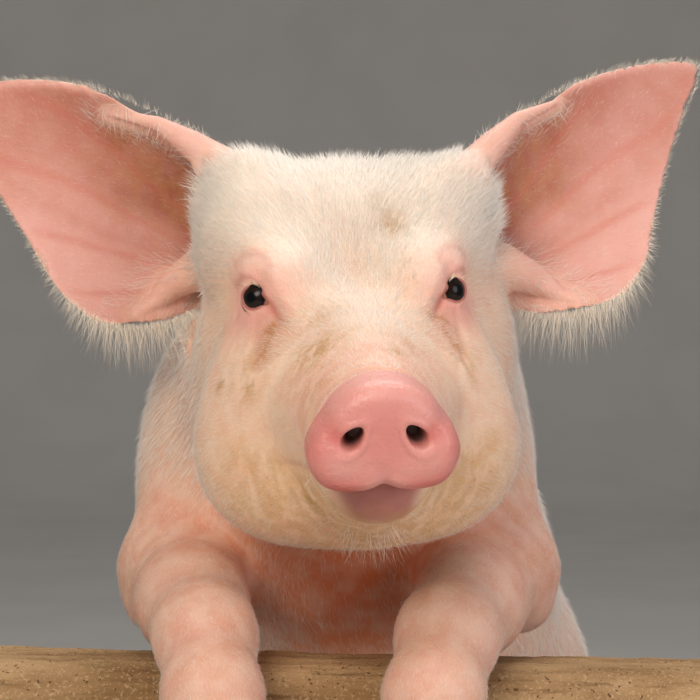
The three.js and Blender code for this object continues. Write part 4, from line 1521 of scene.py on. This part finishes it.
        # painted highlight: the top of the snout's disc made paler
        over(colours.disc_top_highlight, disc * smoothstep(2, 12, up) * 0.55)
        over(colours.flush, (1 - smoothstep(4, 14, disc_field(local))) * (1 - disc) * head * 0.35)
        lip = smoothstep(82, 96, ahead) * smoothstep(-30, -34, up) * smoothstep(-66, -50, up)
        lip = lip * (1 - smoothstep(13, 24, np.abs(out) + (-38 - up) * 0.3)) * (1 - disc)
        over(colours.lip, lip)
        bare = np.maximum(bare, np.maximum(disc, lip))
        # ears
        weight, which = ear_weight(points, outside)
        ear_front, ear_cup_and_shade, ear_highlight_mask = (np.zeros(len(points)) for _ in range(3))
        for name, mine, (along, depth, across) in each_ear(points, weight, which):
            share = ear_share(along, across, name)
            front = smoothstep(0.6, -0.6, depth - ear_depth(along, across))
            ear_front[mine] = front * weight[mine]
            deep = front * (1 - smoothstep(20, 95, along)) * smoothstep(-30, 12, across)
            grime[mine] = np.maximum(grime[mine], 0.4 * deep * (1 - smoothstep(0.75, 0.95, share)))
            # the cup near the root and reddened spots take deep pink: partly the ear's own colour, partly
            # painted shade in the hollow
            cup = (1 - smoothstep(15, 90, along)) * smoothstep(-34, 4, across)
            for spot in EAR_STAINS:
                far = np.hypot(along - spot[0], across - spot[1])
                grime[mine] = np.maximum(grime[mine], 0.3 * front * bump(far, 13))
                cup = np.maximum(cup, bump(far, 12))
            upper = 0.45 * smoothstep(-5, 28, across) * (1 - smoothstep(80, 130, along))
            ear_cup_and_shade[mine] = np.maximum(cup, upper) * (1 - 0.8 * smoothstep(0.85, 1.0, share))
            # painted highlight: the ear's rim and lower edge made paler, partly the thin edge's own
            # lighter pink, partly light caught on the rolled rim
            edge = np.maximum(smoothstep(0.9, 0.99, share), smoothstep(-12, -42, across))
            ear_highlight_mask[mine] = 0.8 * edge * (1 - smoothstep(90, 130, along) * 0.4)
            fan = ear_fan(along, across)
            lines = np.clip(np.cos(fan * VEINS + 0.6 + 0.4 * np.sin(along / 14)), 0, 1) ** 6
            inner = front * smoothstep(0, 25, along) * (1 - smoothstep(0.75, 1.0, share))
            vein[mine] = 0.5 * lines * inner
            # painted light and shade: paler on the ridges of the broad folds, deeper pink in the troughs
            # between them
            broad = np.cos(fan * BROAD_FOLDS + 0.4 + 0.3 * np.sin(along / 22)) * inner
            broad = broad * (1 - smoothstep(70, 130, along))
            ear_highlight_mask[mine] = np.maximum(ear_highlight_mask[mine], 0.4 * np.clip(broad, 0, 1))
            ear_cup_and_shade[mine] = np.maximum(ear_cup_and_shade[mine], 0.45 * np.clip(-broad, 0, 1))
        over(colours.ear_back, weight * (1 - ear_front))
        over(colours.ear, ear_front)
        over(colours.ear_deep_and_shade, ear_front * ear_cup_and_shade)
        over(colours.ear_highlight, ear_front * ear_highlight_mask)
        away = head_field(points)
        # painted highlight: the folds at the ear's root made paler, more so away from the head, where they
        # stand out to the light
        fold = (1 - smoothstep(0.5, 4.0, fold_field(points))) * smoothstep(1, 8, away)
        over(colours.ear_highlight, fold * (0.35 + 0.3 * smoothstep(8, 24, away)))
        bare = np.maximum(bare, np.maximum(ear_front * 0.85, fold * smoothstep(2, 12, away) * 0.9))
        # stains: the forehead and the tear tracks
        for spot, size, amount in STAINS:
            away = np.linalg.norm(local - on_head(*spot), axis=1)
            grime = np.maximum(grime, amount * bump(away, size))
        for side in SIDES.values():
            track = [on_head(a, side * o, u) for a, o, u in EYE_LINES[TEAR_LINE][0]]
            grime = np.maximum(grime, bump(away_from(local, track), 4.2) * smoothstep(16, 22, from_eye))
        grime = np.maximum(grime, 0.45 * chin) * (1 - disc)
        # painted shade: the folds, and all that lies hollow, darkened towards a deep red-brown
        mean = relax(points, edges, 1.0, 1)
        hollow = ((mean - points) * normals).sum(1)
        hollow = relax(hollow[:, None], edges, 0.6, 3)[:, 0]
        crease_shade = np.clip(folds * 0.7 + smoothstep(0.02, 0.25, hollow) * 0.25, 0, 1) * (1 - ear_front)
        nostril = get_scalar(mesh, "Nostril")
        # painted shade: the sunk nostrils darkened nearly to black, with a red edge round each
        over(colours.rim, smoothstep(0.02, 0.3, nostril) * 0.6)
        over(colours.nostril, smoothstep(0.2, 0.8, nostril))
        moist = np.maximum(disc * (1 - nostril), 1 - smoothstep(1.1, 1.5, opening))
        set_colour(mesh, "Tone", tone)
        painted = {"Bare": bare, "Grime": grime, "Vein": vein, "Moist": moist, "Crease": crease_shade}
        for name, values in painted.items():
            set_scalar(mesh, name, values)


# ------------------------------ eyes ------------------------------


class PIG_OT_eyes(bpy.types.Operator):
    """Two dark glossy eyes, each with the low bulge of its cornea"""

    bl_idname = "pig.eyes"
    bl_label = "Eyes"

    def execute(self, context):
        material = eye_material()
        for name, side in SIDES.items():
            centre = from_head(eye_centre(side))
            gaze = HEAD_TURN @ eye_axes(side)[0]
            bpy.ops.object.select_all(action="DESELECT")
            bpy.ops.mesh.primitive_uv_sphere_add(
                segments=64,
                ring_count=48,
                radius=EYE["radius"] * MM,
                location=to_world(centre),
                rotation=Vector(gaze).to_track_quat("Z", "Y").to_euler(),
            )
            bpy.ops.object.transform_apply(location=True, rotation=True, scale=True)
            bpy.ops.object.shade_smooth()
            eye = context.object
            away = to_figure(read_places(eye.data)) - centre
            angle = np.degrees(np.arccos(np.clip(unit(away) @ gaze, -1, 1)))
            swell = 1 + 0.05 * smoothstep(34, 8, angle)
            write_places(eye.data, to_world(centre + away * swell[:, None]))
            set_scalar(eye.data, "Iris", angle)
            finish_piece(eye, f"eyeball_{name}", material, "eye", f"eye_{name}")
        return {"FINISHED"}


# ------------------------------ claws ------------------------------


class PIG_OT_claws(bpy.types.Operator):
    """The claws and dewclaws of all four feet, rounded and worn"""

    bl_idname = "pig.claws"
    bl_label = "Claws"

    def execute(self, context):
        material = horn_material()
        for node in sorted(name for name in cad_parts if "claw" in name):
            claw = copy_node(node)
            apply_modifier(claw, "REMESH", mode="VOXEL", voxel_size=1.2 * MM, adaptivity=0)
            apply_modifier(claw, "SMOOTH", factor=0.5, iterations=5)
            apply_modifier(claw, "DISPLACE", strength=0.35 * MM, mid_level=0.0)
            select_only(claw)
            bpy.ops.object.shade_smooth()
            finish_piece(claw, "horn_" + node, material, "horn", node)
        return {"FINISHED"}


# ------------------------------ rail and stand ------------------------------


class PIG_OT_rail(bpy.types.Operator):
    """The rough rail that the forelegs hang over"""

    bl_idname = "pig.rail"
    bl_label = "Rail"

    def execute(self, context):
        rail = copy_node("stand_rail")
        apply_modifier(rail, "REMESH", mode="VOXEL", voxel_size=1.7 * MM, adaptivity=0)
        apply_modifier(rail, "SMOOTH", factor=0.5, iterations=8)
        places = to_figure(read_places(rail.data))
        normals = read_normals(rail.data)
        worn = np.array([self.worn(place) for place in places])
        write_places(rail.data, to_world(places - normals * worn[:, None]))
        select_only(rail)
        bpy.ops.object.shade_smooth()
        finish_piece(rail, "rail_timber", rail_material(), "rail_wood", "stand_rail")
        return {"FINISHED"}

    def worn(self, place):
        """How deep the rail's surface is worn away at a place, in millimetres."""
        x, y, z = place
        knocks = field_noise.noise(Vector((x / 23, y / 17, z / 17)))
        grain = field_noise.noise(Vector((x / 50, y / 4.5, z / 4.5)))
        grit = field_noise.noise(Vector((x / 4, y / 3.5, z / 3.5)))
        return 0.9 + 0.8 * knocks + 0.55 * grain + 0.45 * grit


class PIG_OT_stand(bpy.types.Operator):
    """Finishes the base and rods of the stand"""

    bl_idname = "pig.stand"
    bl_label = "Stand"

    def execute(self, context):
        paint, steel = paint_material(), steel_material()
        finishes = {"stand_base": paint, "stand_rod_left": steel, "stand_rod_right": steel}
        for name, material in finishes.items():
            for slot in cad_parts[name].material_slots:
                slot.material = material
        return {"FINISHED"}


# ------------------------------ coat ------------------------------

STRAIGHT_LIMIT = 49000  # straight bristles in one piece, at four faces each
CURVED_LIMIT = 12000  # curved ones, at ten or sixteen faces each
ROOT_DEPTH = 0.3  # how far under the skin a bristle starts, so that no root shows open
PATCH = {"wide": 0.0012, "tall": 0.0024, "tip": 0.0015}  # a bristle's own patch of the bake map
OWN_SHADE = 0.45  # how much of a bristle's shading is its own, beside the skin's under it
LASHES = 24  # on each eye


def strand_faces(steps):
    """The triangles of one closed strand: a three-sided root, sides along it and a point."""
    faces = [(2, 1, 0)]
    for j in range(steps - 2):
        for i in range(3):
            a, b = 3 * j + i, 3 * j + (i + 1) % 3
            faces += [(a, b, b + 3), (a, b + 3, a + 3)]
    last = 3 * (steps - 2)
    return np.array(faces + [(last + i, last + (i + 1) % 3, last + 3) for i in range(3)])


def strand_piece(name, paths, normals, widths, roots, tips, spots):
    """Makes one mesh of many strands. A path is each strand's line of places, in millimetres."""
    count, steps, _ = paths.shape
    heading = unit(paths[:, 1] - paths[:, 0])
    side = unit(np.cross(normals, heading))
    up = np.cross(heading, side)
    corners, tones, offsets = [], [], []
    for j in range(steps - 1):
        share = j / (steps - 1)
        radius = (widths * (1 - share) ** 0.7 / math.sqrt(3))[:, None]
        for i in range(3):
            turned = 2 * math.pi * i / 3
            corners.append(paths[:, j] + radius * (math.cos(turned) * side + math.sin(turned) * up))
            tones.append(roots * (1 - share) + tips * share)
            offsets.append(((i - 1) * PATCH["wide"], (share - 0.5) * PATCH["tall"]))
    corners.append(paths[:, -1])
    tones.append(tips)
    offsets.append((0.0, PATCH["tip"]))
    places = to_world(np.stack(corners, axis=1).reshape(-1, 3))
    template = strand_faces(steps)
    faces = (template[None] + (np.arange(count) * len(corners))[:, None, None]).reshape(-1, 3)
    mesh = bpy.data.meshes.new(name)
    mesh.vertices.add(len(places))
    mesh.loops.add(faces.size)
    mesh.polygons.add(len(faces))
    mesh.vertices.foreach_set("co", places.astype(np.float32).ravel())
    mesh.loops.foreach_set("vertex_index", faces.astype(np.int32).ravel())
    mesh.polygons.foreach_set("loop_start", np.arange(0, faces.size, 3, dtype=np.int32))
    mesh.update(calc_edges=True)
    maps = (spots[:, None] + np.array(offsets)[None]).reshape(-1, 2)
    layer = mesh.uv_layers.new(name=BAKE_MAP)
    layer.uv.foreach_set("vector", maps[faces.ravel()].astype(np.float32).ravel())
    set_colour(mesh, "Tone", np.stack(tones, axis=1).reshape(-1, 3))
    piece = bpy.data.objects.new(name, mesh)
    bpy.context.scene.collection.objects.link(piece)
    select_only(piece)
    bpy.ops.object.shade_smooth()
    facing = read_normals(mesh) * OWN_SHADE + np.repeat(normals, len(corners), axis=0)
    mesh.normals_split_custom_set_from_vertices(unit(facing))
    return piece


class Roots:
    """Random places on the skin, as many for each square millimetre as its points ask for."""

    def __init__(self, density, rng):
        mesh = bpy.data.objects[SKIN].data
        mesh.calc_loop_triangles()
        corners = read(mesh.loop_triangles, "vertices", 3, np.int32)
        loops = read(mesh.loop_triangles, "loops", 3, np.int32)
        places = to_figure(read_places(mesh))
        a, b, c = (places[corners[:, k]] for k in range(3))
        area = np.linalg.norm(np.cross(b - a, c - a), axis=1) / 2
        wanted = area * density[corners].mean(1) * bpy.context.scene.pig_coat.density
        count = np.floor(wanted + rng.random(len(wanted))).astype(int)
        face = np.repeat(np.arange(len(wanted)), count)
        one, other = np.sqrt(rng.random(len(face))), rng.random(len(face))
        self.weights = np.stack([1 - one, one * (1 - other), one * other], axis=1)
        self.corners = corners[face]
        self.places = self.of(places)
        self.normals = unit(self.of(read_normals(mesh)))
        spots = read(mesh.uv_layers[BAKE_MAP].uv, "vector", 2)
        self.spots = (spots[loops[face]] * self.weights[:, :, None]).sum(1)
        self.tones = self.of(get_colour(mesh, "Tone"))

    def of(self, values):
        """What something known at the skin's points comes to at the roots."""
        taken = values[self.corners]
        return (taken * self.weights.reshape(-1, 3, *[1] * (taken.ndim - 2))).sum(1)


def limb_lie(points):
    """How far each place is from the legs and tail, and the way along the nearest one."""
    nearest, lie = np.full(len(points), 1e3), np.zeros_like(points)
    for joints in (*FORE_JOINTS.values(), *HIND_JOINTS.values(), TAIL_JOINTS):
        for (a, start), (b, end) in zip(joints, joints[1:]):
            away = limb(a, b, start, end)(points)
            nearer = away < nearest
            nearest = np.where(nearer, away, nearest)
            lie[nearer] = unit(np.subtract(b, a))
    return nearest, lie


def lie_of_coat(points, normals):
    """Which way the coat lies: back from the snout, down the cheeks, and on to the tail and feet."""
    local = to_head(points)
    out, up = local[:, 0], local[:, 2]
    aside = np.clip(out / 22, -1, 1)
    low = smoothstep(12, -40, up)
    middle = smoothstep(-70, -95, up)
    head = np.stack([aside * (0.5 + 0.5 * low), 1 - 0.3 * low, 0.3 - 1.2 * low - middle], axis=1)
    head = head @ HEAD_TURN.T
    trunk = unit(from_trunk((0, 0.8, -0.6)) - from_trunk((0, 0, 0)))
    trunk = trunk + np.array([0, 0, -0.55]) * (1 - np.abs(normals[:, 2:3]))
    share = (1 - smoothstep(6, 60, head_field(points)))[:, None]
    lie = unit(head) * share + unit(trunk) * (1 - share)
    nearest, along = limb_lie(points)
    leg = ((1 - smoothstep(2, 16, nearest)) * smoothstep(-14, 6, trunk_field(points)))[:, None]
    lie = lie * (1 - leg) + along * leg
    weight, which = ear_weight(points, body_field(points))
    for name, mine, (_, _, across) in each_ear(points, weight, which):
        way = np.stack([across * 0 + 1, across * 0, (across - EAR_MIDDLE[1]) / 45], axis=1)
        way = (way * (SIDES[name], 1, 1)) @ ear_turn(name).T
        keep = weight[mine][:, None]
        lie[mine] = lie[mine] * (1 - keep) + unit(way) * keep
    return unit(lie - normals * (lie * normals).sum(1, keepdims=True))


def bent_paths(start, lengths, way, fall, steps):
    """The line of each strand: out along its own way, and bending by its fall."""
    shares = np.linspace(0, 1, steps)[None, :, None]
    bend = shares**2 * np.broadcast_to(fall, way.shape)[:, None]
    return start[:, None] + lengths[:, None, None] * (shares * way[:, None] + bend)


def bristle_paths(roots, lengths, lifts, rng, steps=2, droop=0.0, scatter=14):
    """The line of each bristle from its root, a little under the skin."""
    lie = lie_of_coat(roots.places, roots.normals)
    sideways = np.cross(roots.normals, lie)
    aside = np.radians(rng.normal(0, scatter, len(lengths)))[:, None]
    lift = np.radians(np.clip(lifts + rng.normal(0, 5, len(lengths)), 4, 80))[:, None]
    flat = lie * np.cos(aside) + sideways * np.sin(aside)
    heading = flat * np.cos(lift) + roots.normals * np.sin(lift)
    start = roots.places - roots.normals * ROOT_DEPTH
    fall = np.array([0, 0, -1.0]) * droop - roots.normals * 0.12 * (steps > 2)
    return bent_paths(start, lengths, heading, fall, steps)


def grow(name, roots, lengths, lifts, rng, fine=1.0, **shape):
    """Grows bristles from the roots, in as many pieces as their number needs."""
    settings, colours = bpy.context.scene.pig_coat, bpy.context.scene.pig_colours
    lengths = lengths * rng.uniform(0.65, 1.25, len(lengths))
    paths = bristle_paths(roots, lengths, lifts, rng, **shape)
    widths = settings.width / MM * np.clip(lengths / 9, 0.55, 1.25) * fine
    cream = np.array(colours.bristle)
    tips = roots.tones * 0.15 + cream * 0.85
    base = roots.tones * 0.5 + cream * 0.5
    dirt = roots.of(get_scalar(bpy.data.objects[SKIN].data, "Grime"))
    dirt = np.clip((dirt - 0.12) * rng.uniform(0.3, 1.1, len(dirt)), 0, 0.75)[:, None]
    tips = tips * (1 - dirt) + np.array(colours.grime) * dirt
    base = base * (1 - dirt) + np.array(colours.grime) * dirt
    shade = rng.uniform(0.86, 1.08, (len(lengths), 1))
    limit = STRAIGHT_LIMIT if paths.shape[1] == 2 else CURVED_LIMIT
    pieces = max(1, math.ceil(len(lengths) / limit))
    order = np.argsort(roots.places[:, 0], kind="stable")
    for number, chosen in enumerate(np.array_split(order, pieces), 1):
        piece = strand_piece(
            f"{name}_{number}",
            paths[chosen],
            roots.normals[chosen],
            widths[chosen],
            np.clip(base * shade, 0, 1)[chosen],
            np.clip(tips * shade, 0, 1)[chosen],
            roots.spots[chosen],
        )
        finish_piece(piece, piece.name, bristle_finish(), "skin")


class Cover:
    """What the coat needs to know of the skin's points."""

    def __init__(self):
        mesh = bpy.data.objects[SKIN].data
        self.points = to_figure(read_places(mesh))
        self.local = to_head(self.points)
        self.outside = body_field(self.points)
        self.bare = get_scalar(mesh, "Bare")
        self.from_eye = eye_distance(self.local)
        self.ear, _ = ear_weight(self.points, self.outside)
        self.head = (1 - smoothstep(3, 30, head_field(self.points))) * (1 - self.ear)
        self.chest = chest_shade_share(self.points)


def nearest_spots(mesh, places):
    """The places on the skin's unwrap that are nearest to some roots."""
    tree = KDTree(len(mesh.vertices))
    for index, place in enumerate(read_places(mesh)):
        tree.insert(place, index)
    tree.balance()
    corner_of = np.zeros(len(mesh.vertices), np.int64)
    corners = read_corners(mesh)
    corner_of[corners] = np.arange(len(corners))
    found = [tree.find(place)[1] for place in to_world(places)]
    return read(mesh.uv_layers[BAKE_MAP].uv, "vector", 2)[corner_of[found]]


def edge_hairs(name, paths, normals, width, cream, shaded):
    """One piece of hairs that stand along an edge, darker at the root by the given share."""
    piece = strand_piece(
        name,
        paths,
        normals,
        np.full(len(paths), width),
        np.clip(cream * shaded, 0, 1),
        np.clip(cream, 0, 1),
        nearest_spots(bpy.data.objects[SKIN].data, paths[:, 0]),
    )
    finish_piece(piece, name, bristle_finish(), "skin")


class PIG_OT_head_coat(bpy.types.Operator):
    """Short bristles of the head, back from the snout to the poll and jowls"""

    bl_idname = "pig.head_coat"
    bl_label = "Head coat"

    def execute(self, context):
        rng = np.random.default_rng(RNG_SEED)
        cover = Cover()
        ahead, up = -cover.local[:, 1], cover.local[:, 2]
        bald = np.clip(cover.bare * 1.1, 0, 1)
        brow = smoothstep(-20, 15, up)
        near = smoothstep(13, 32, cover.from_eye)
        density = cover.head * (1 - bald) * (0.62 + 1.05 * brow) * (0.25 + 0.75 * near)
        density = density * (1 - 0.6 * smoothstep(45, 95, ahead))
        density = density * (1 - 0.65 * smoothstep(-42, -95, ahead))
        length = 5.2 + 2.6 * brow - 2.4 * smoothstep(20, 90, ahead)
        length = length + 4.0 * smoothstep(-35, -75, ahead) + 1.6 * smoothstep(-45, -75, up)
        corner = smoothstep(28, 46, up) * smoothstep(20, 38, np.abs(cover.local[:, 0]))
        temple = smoothstep(22, 4, fold_field(cover.points)) * (1 - corner)
        length = length * (0.35 + 0.65 * near) + 1.4 * temple - 2.2 * corner
        crest = smoothstep(-30, -80, ahead) * smoothstep(0, 30, up)
        lift = 9 + 4 * brow * (1 - corner) + 5 * temple + 20 * crest
        roots = Roots(density, rng)
        grow("coat_head", roots, roots.of(length), roots.of(lift), rng, scatter=16)
        return {"FINISHED"}


class PIG_OT_body_coat(bpy.types.Operator):
    """Sparser, longer bristles of the neck, trunk, legs and tail"""

    bl_idname = "pig.body_coat"
    bl_label = "Body coat"

    def execute(self, context):
        rng = np.random.default_rng(RNG_SEED + 1)
        cover = Cover()
        nearest, _ = limb_lie(cover.points)
        leg = (1 - smoothstep(4, 18, nearest)) * smoothstep(-20, 0, trunk_field(cover.points))
        seen = (cover.points[:, 1] < 150) * (cover.points[:, 2] > 340)
        body = (1 - cover.head) * (1 - cover.ear) * (1 - np.clip(cover.bare, 0, 1))
        # fewer bristles where the chest's warm painted shade lies, so that it shows through
        body = body * (1 - 0.9 * cover.chest)
        density = body * (0.17 + 0.30 * seen + 0.10 * leg)
        length = 12 - 5.0 * leg - 3.0 * seen
        roots = Roots(density, rng)
        lift = np.full(len(roots.places), 11.0)
        grow("coat_body", roots, roots.of(length), lift, rng, scatter=13)
        return {"FINISHED"}


class PIG_OT_ear_coat(bpy.types.Operator):
    """Fine hairs of the ears, longer across their roots and along their edges"""

    bl_idname = "pig.ear_coat"
    bl_label = "Ear coat"

    def execute(self, context):
        rng = np.random.default_rng(RNG_SEED + 2)
        cover = Cover()
        root = smoothstep(-4, 1, cover.outside) * (1 - smoothstep(5, 16, cover.outside))
        root = root * (cover.points[:, 2] > 605) * (cover.points[:, 1] > 20)
        density = cover.ear * (0.45 * (1 - cover.bare) + 0.08) + 0.32 * root * (1 - 0.75 * cover.bare)
        length = 4.0 + 4.0 * root
        roots = Roots(density, rng)
        lift = 14 + 8 * roots.of(root)
        grow("coat_ears", roots, roots.of(length), lift, rng, 0.75, steps=3, droop=0.05, scatter=18)
        self.fringe(rng)
        return {"FINISHED"}

    def fringe(self, rng):
        """Hairs that stand out along each ear's rim, long at the lower corner of its root."""
        bristle = np.array(bpy.context.scene.pig_colours.bristle)
        for name, side in SIDES.items():
            ring = np.repeat(ear_outline(name, 2400), 2, axis=0)
            ring = ring + rng.normal(0, 0.5, ring.shape)
            along, across = ring.T
            away = unit(np.stack([along - EAR_MIDDLE[0], across - EAR_MIDDLE[1]], axis=1))
            long = smoothstep(75, 5, along) * smoothstep(0, -30, across)
            keep = rng.random(len(ring)) < 0.24 + 0.36 * long
            along, across, away, long = along[keep], across[keep], away[keep], long[keep]
            length = (3.0 + 10.5 * long) * rng.uniform(0.3, 1.5, len(long))
            spread = rng.normal(0, 0.28, (len(long), 3))
            way = np.stack([away[:, 0] * 0.8 + 0.5 * (1 - long), 0.35 * long, away[:, 1]], axis=1) + spread
            way = unit((way * (side, 1, 1)) @ ear_turn(name).T)
            start = np.stack([along, ear_depth(along, across), across], axis=1)
            start = from_ear(start, name) - way * (1.2 + 1.8 * long)[:, None]
            paths = bent_paths(start, length, way, np.array([0, 0.1, -0.5]) * long[:, None], 4)
            normals = unit(np.tile((0, 0, 0.6) - ear_turn(name)[:, 1], (len(long), 1)))
            cream = bristle * (1, 0.92, 0.8) * rng.uniform(0.8, 1.05, (len(long), 1))
            edge_hairs(f"fringe_ear_{name}", paths, normals, 0.12, cream, 0.96)


class PIG_OT_whiskers(bpy.types.Operator):
    """Pale lashes, whiskers of the chin and snout, and the tail's tuft"""

    bl_idname = "pig.whiskers"
    bl_label = "Lashes and whiskers"

    def execute(self, context):
        rng = np.random.default_rng(RNG_SEED + 3)
        cover = Cover()
        ahead, out, up = -cover.local[:, 1], cover.local[:, 0], cover.local[:, 2]
        chin = bump(ahead - 66, 26) * bump(out, 20) * smoothstep(-66, -80, up)
        muzzle = smoothstep(60, 80, ahead) * (1 - smoothstep(104, 110, ahead)) * (up < -20)
        tail = (TAIL_FORM(cover.points) < 2) * (trunk_field(cover.points) > 40)
        lip = smoothstep(96, 104, ahead) * smoothstep(-54, -62, up) * (np.abs(out) < 18)
        density = (0.045 * chin + 0.012 * muzzle + 0.03 * lip) * cover.head + 0.5 * tail
        roots = Roots(density, rng)
        length = roots.of(13.0 * chin + 7.0 * muzzle + 5.0 * lip + 16.0 * tail)
        lift = roots.of(40.0 * chin + 30.0 * muzzle + 45.0 * lip + 16.0 * tail)
        grow("whiskers", roots, np.clip(length, 4, 18), lift, rng, steps=4, droop=0.12, scatter=22)
        self.lashes(rng)
        return {"FINISHED"}

    def lashes(self, rng):
        """Lashes of the upper lid and outer corner of each eye, drooping at their tips."""
        settings = bpy.context.scene.pig_skin
        bristle = np.array(bpy.context.scene.pig_colours.bristle)
        width, height = settings.lid_width * 0.56, settings.lid_height * 0.58
        for name, side in SIDES.items():
            gaze, outer, above = eye_axes(side)
            turned = np.radians(rng.uniform(10, 115, LASHES))
            around = np.cos(turned)[:, None] * outer + np.sin(turned)[:, None] * above
            reach = np.hypot(np.cos(turned) * width, np.sin(turned) * height)[:, None]
            aim = unit(gaze * np.cos(reach) + around * np.sin(reach))
            start = eye_centre(side) + aim * (EYE["radius"] + 0.9)
            way = unit(aim * 0.55 + around * 0.5 + outer * 0.55 + rng.normal(0, 0.12, (LASHES, 3)))
            length = rng.uniform(3.0, 6.0, LASHES)
            paths = from_head(bent_paths(start, length, way, outer * 0.1 - above * 0.3, 4))
            cream = bristle * (0.85, 0.72, 0.5) * rng.uniform(0.7, 0.95, (LASHES, 1))
            edge_hairs(f"lashes_{name}", paths, aim @ HEAD_TURN.T, 0.16, cream, 0.95)


# ------------------------------ stage ------------------------------


# Each light's name, place, what it points at, width, power and colour.
LIGHTS = (
    ("key", (-0.7, -2.1, 1.7), (0, -0.2, 0.6), 1.2, 38, "#FFF2E4"),
    ("fill", (1.7, -1.6, 1.1), (0, -0.2, 0.6), 1.4, 19, "#F8F2F6"),
    ("top", (0.1, 0.3, 2.4), (0, 0, 0.5), 1.4, 22, "#FFFDF8"),
)
# The camera stands level with the muzzle, with a lens some 2.7 times as long as its film is wide.
CAMERA = {"place": (-0.010, -1.095, 0.623), "film": 36.0, "reach": 1912.5 / 700}


class PIG_OT_stage(bpy.types.Operator):
    """A pale floor and backdrop, soft lights and the camera"""

    bl_idname = "pig.stage"
    bl_label = "Stage"

    def execute(self, context):
        scene = context.scene
        bpy.ops.object.select_all(action="DESELECT")
        bpy.ops.mesh.primitive_plane_add(size=12, location=(0, 2.0, -0.0005))
        floor = context.object
        floor.name = "floor"
        select_only(floor)
        bpy.ops.object.mode_set(mode="EDIT")
        bpy.ops.mesh.select_mode(type="EDGE")
        self.pick_edges(floor, lambda place: place.y > 5)
        bpy.ops.mesh.extrude_edges_move(TRANSFORM_OT_translate={"value": (0, 0, 6)})
        self.pick_edges(floor, lambda place: place.y > 5 and abs(place.z) < 0.01)
        bpy.ops.mesh.bevel(offset=2.0, segments=16, affect="EDGES")
        bpy.ops.object.mode_set(mode="OBJECT")
        bpy.ops.object.transform_apply(location=True, rotation=True, scale=True)
        bpy.ops.object.shade_smooth()
        material, tree = new_material("studio_paper")
        grain = noise(tree, object_place(tree), 0.4, detail=2)
        colour = mix(tree, ramp(tree, grain, 0.3, 0.7), linear("#D9D5CE"), linear("#DEDAD3"))
        surface(tree, {"Base Color": colour, "Roughness": 0.9, "Specular IOR Level": 0.2})
        floor.data.materials.append(material)
        scene.view_settings.view_transform = "Standard"
        for lamp in LIGHTS:
            self.light(*lamp)
        world = bpy.data.worlds.new("studio")
        world.use_nodes = True
        glow = world.node_tree.nodes["Background"]
        glow.inputs[0].default_value = (*linear("#E9E8EA"), 1)
        glow.inputs[1].default_value = 0.28
        scene.world = world
        lens = bpy.data.cameras.new("camera")
        lens.sensor_width = CAMERA["film"]
        lens.lens = CAMERA["film"] * CAMERA["reach"]
        lens.clip_start = 0.05
        camera = bpy.data.objects.new("camera", lens)
        scene.collection.objects.link(camera)
        camera.location = CAMERA["place"]
        camera.rotation_euler = (math.radians(90), 0, 0)
        scene.camera = camera
        return {"FINISHED"}

    def pick_edges(self, piece, wanted):
        """Selects the edges whose two ends both pass the test."""
        bpy.ops.mesh.select_all(action="DESELECT")
        bpy.ops.object.mode_set(mode="OBJECT")
        for edge in piece.data.edges:
            edge.select = all(wanted(piece.data.vertices[i].co) for i in edge.vertices)
        bpy.ops.object.mode_set(mode="EDIT")

    def light(self, name, place, target, size, watts, hex_code):
        data = bpy.data.lights.new(name, "AREA")
        data.shape = "DISK"
        data.size = size
        data.energy = watts
        data.color = linear(hex_code)
        lamp = bpy.data.objects.new(name, data)
        bpy.context.scene.collection.objects.link(lamp)
        lamp.location = place
        lamp.rotation_euler = (Vector(target) - Vector(place)).to_track_quat("-Z", "Y").to_euler()


# ------------------------------ panel and registration ------------------------------

OPERATORS = (
    PIG_OT_stage,
    PIG_OT_skin,
    PIG_OT_eyes,
    PIG_OT_claws,
    PIG_OT_rail,
    PIG_OT_stand,
    PIG_OT_head_coat,
    PIG_OT_body_coat,
    PIG_OT_ear_coat,
    PIG_OT_whiskers,
)
SETTINGS = (PigSkinSettings, PigColours, PigCoatSettings)


class PIG_PT_panel(bpy.types.Panel):
    bl_label = "Pig"
    bl_space_type = "VIEW_3D"
    bl_region_type = "UI"
    bl_category = "Pig"

    def draw(self, context):
        for group in (context.scene.pig_skin, context.scene.pig_coat, context.scene.pig_colours):
            for name in group.bl_rna.properties.keys():
                if name not in ("rna_type", "name"):
                    self.layout.prop(group, name)
        for operator in OPERATORS:
            self.layout.operator(operator.bl_idname)


def register():
    for each in SETTINGS + OPERATORS + (PIG_PT_panel,):
        bpy.utils.register_class(each)
    bpy.types.Scene.pig_skin = bpy.props.PointerProperty(type=PigSkinSettings)
    bpy.types.Scene.pig_colours = bpy.props.PointerProperty(type=PigColours)
    bpy.types.Scene.pig_coat = bpy.props.PointerProperty(type=PigCoatSettings)


def unregister():
    del bpy.types.Scene.pig_coat
    del bpy.types.Scene.pig_colours
    del bpy.types.Scene.pig_skin
    for each in reversed(SETTINGS + OPERATORS + (PIG_PT_panel,)):
        bpy.utils.unregister_class(each)


def main():
    register()
    for step in OPERATORS:
        kind, name = step.bl_idname.split(".")
        getattr(getattr(bpy.ops, kind), name)()


if __name__ == "__main__":
    main()
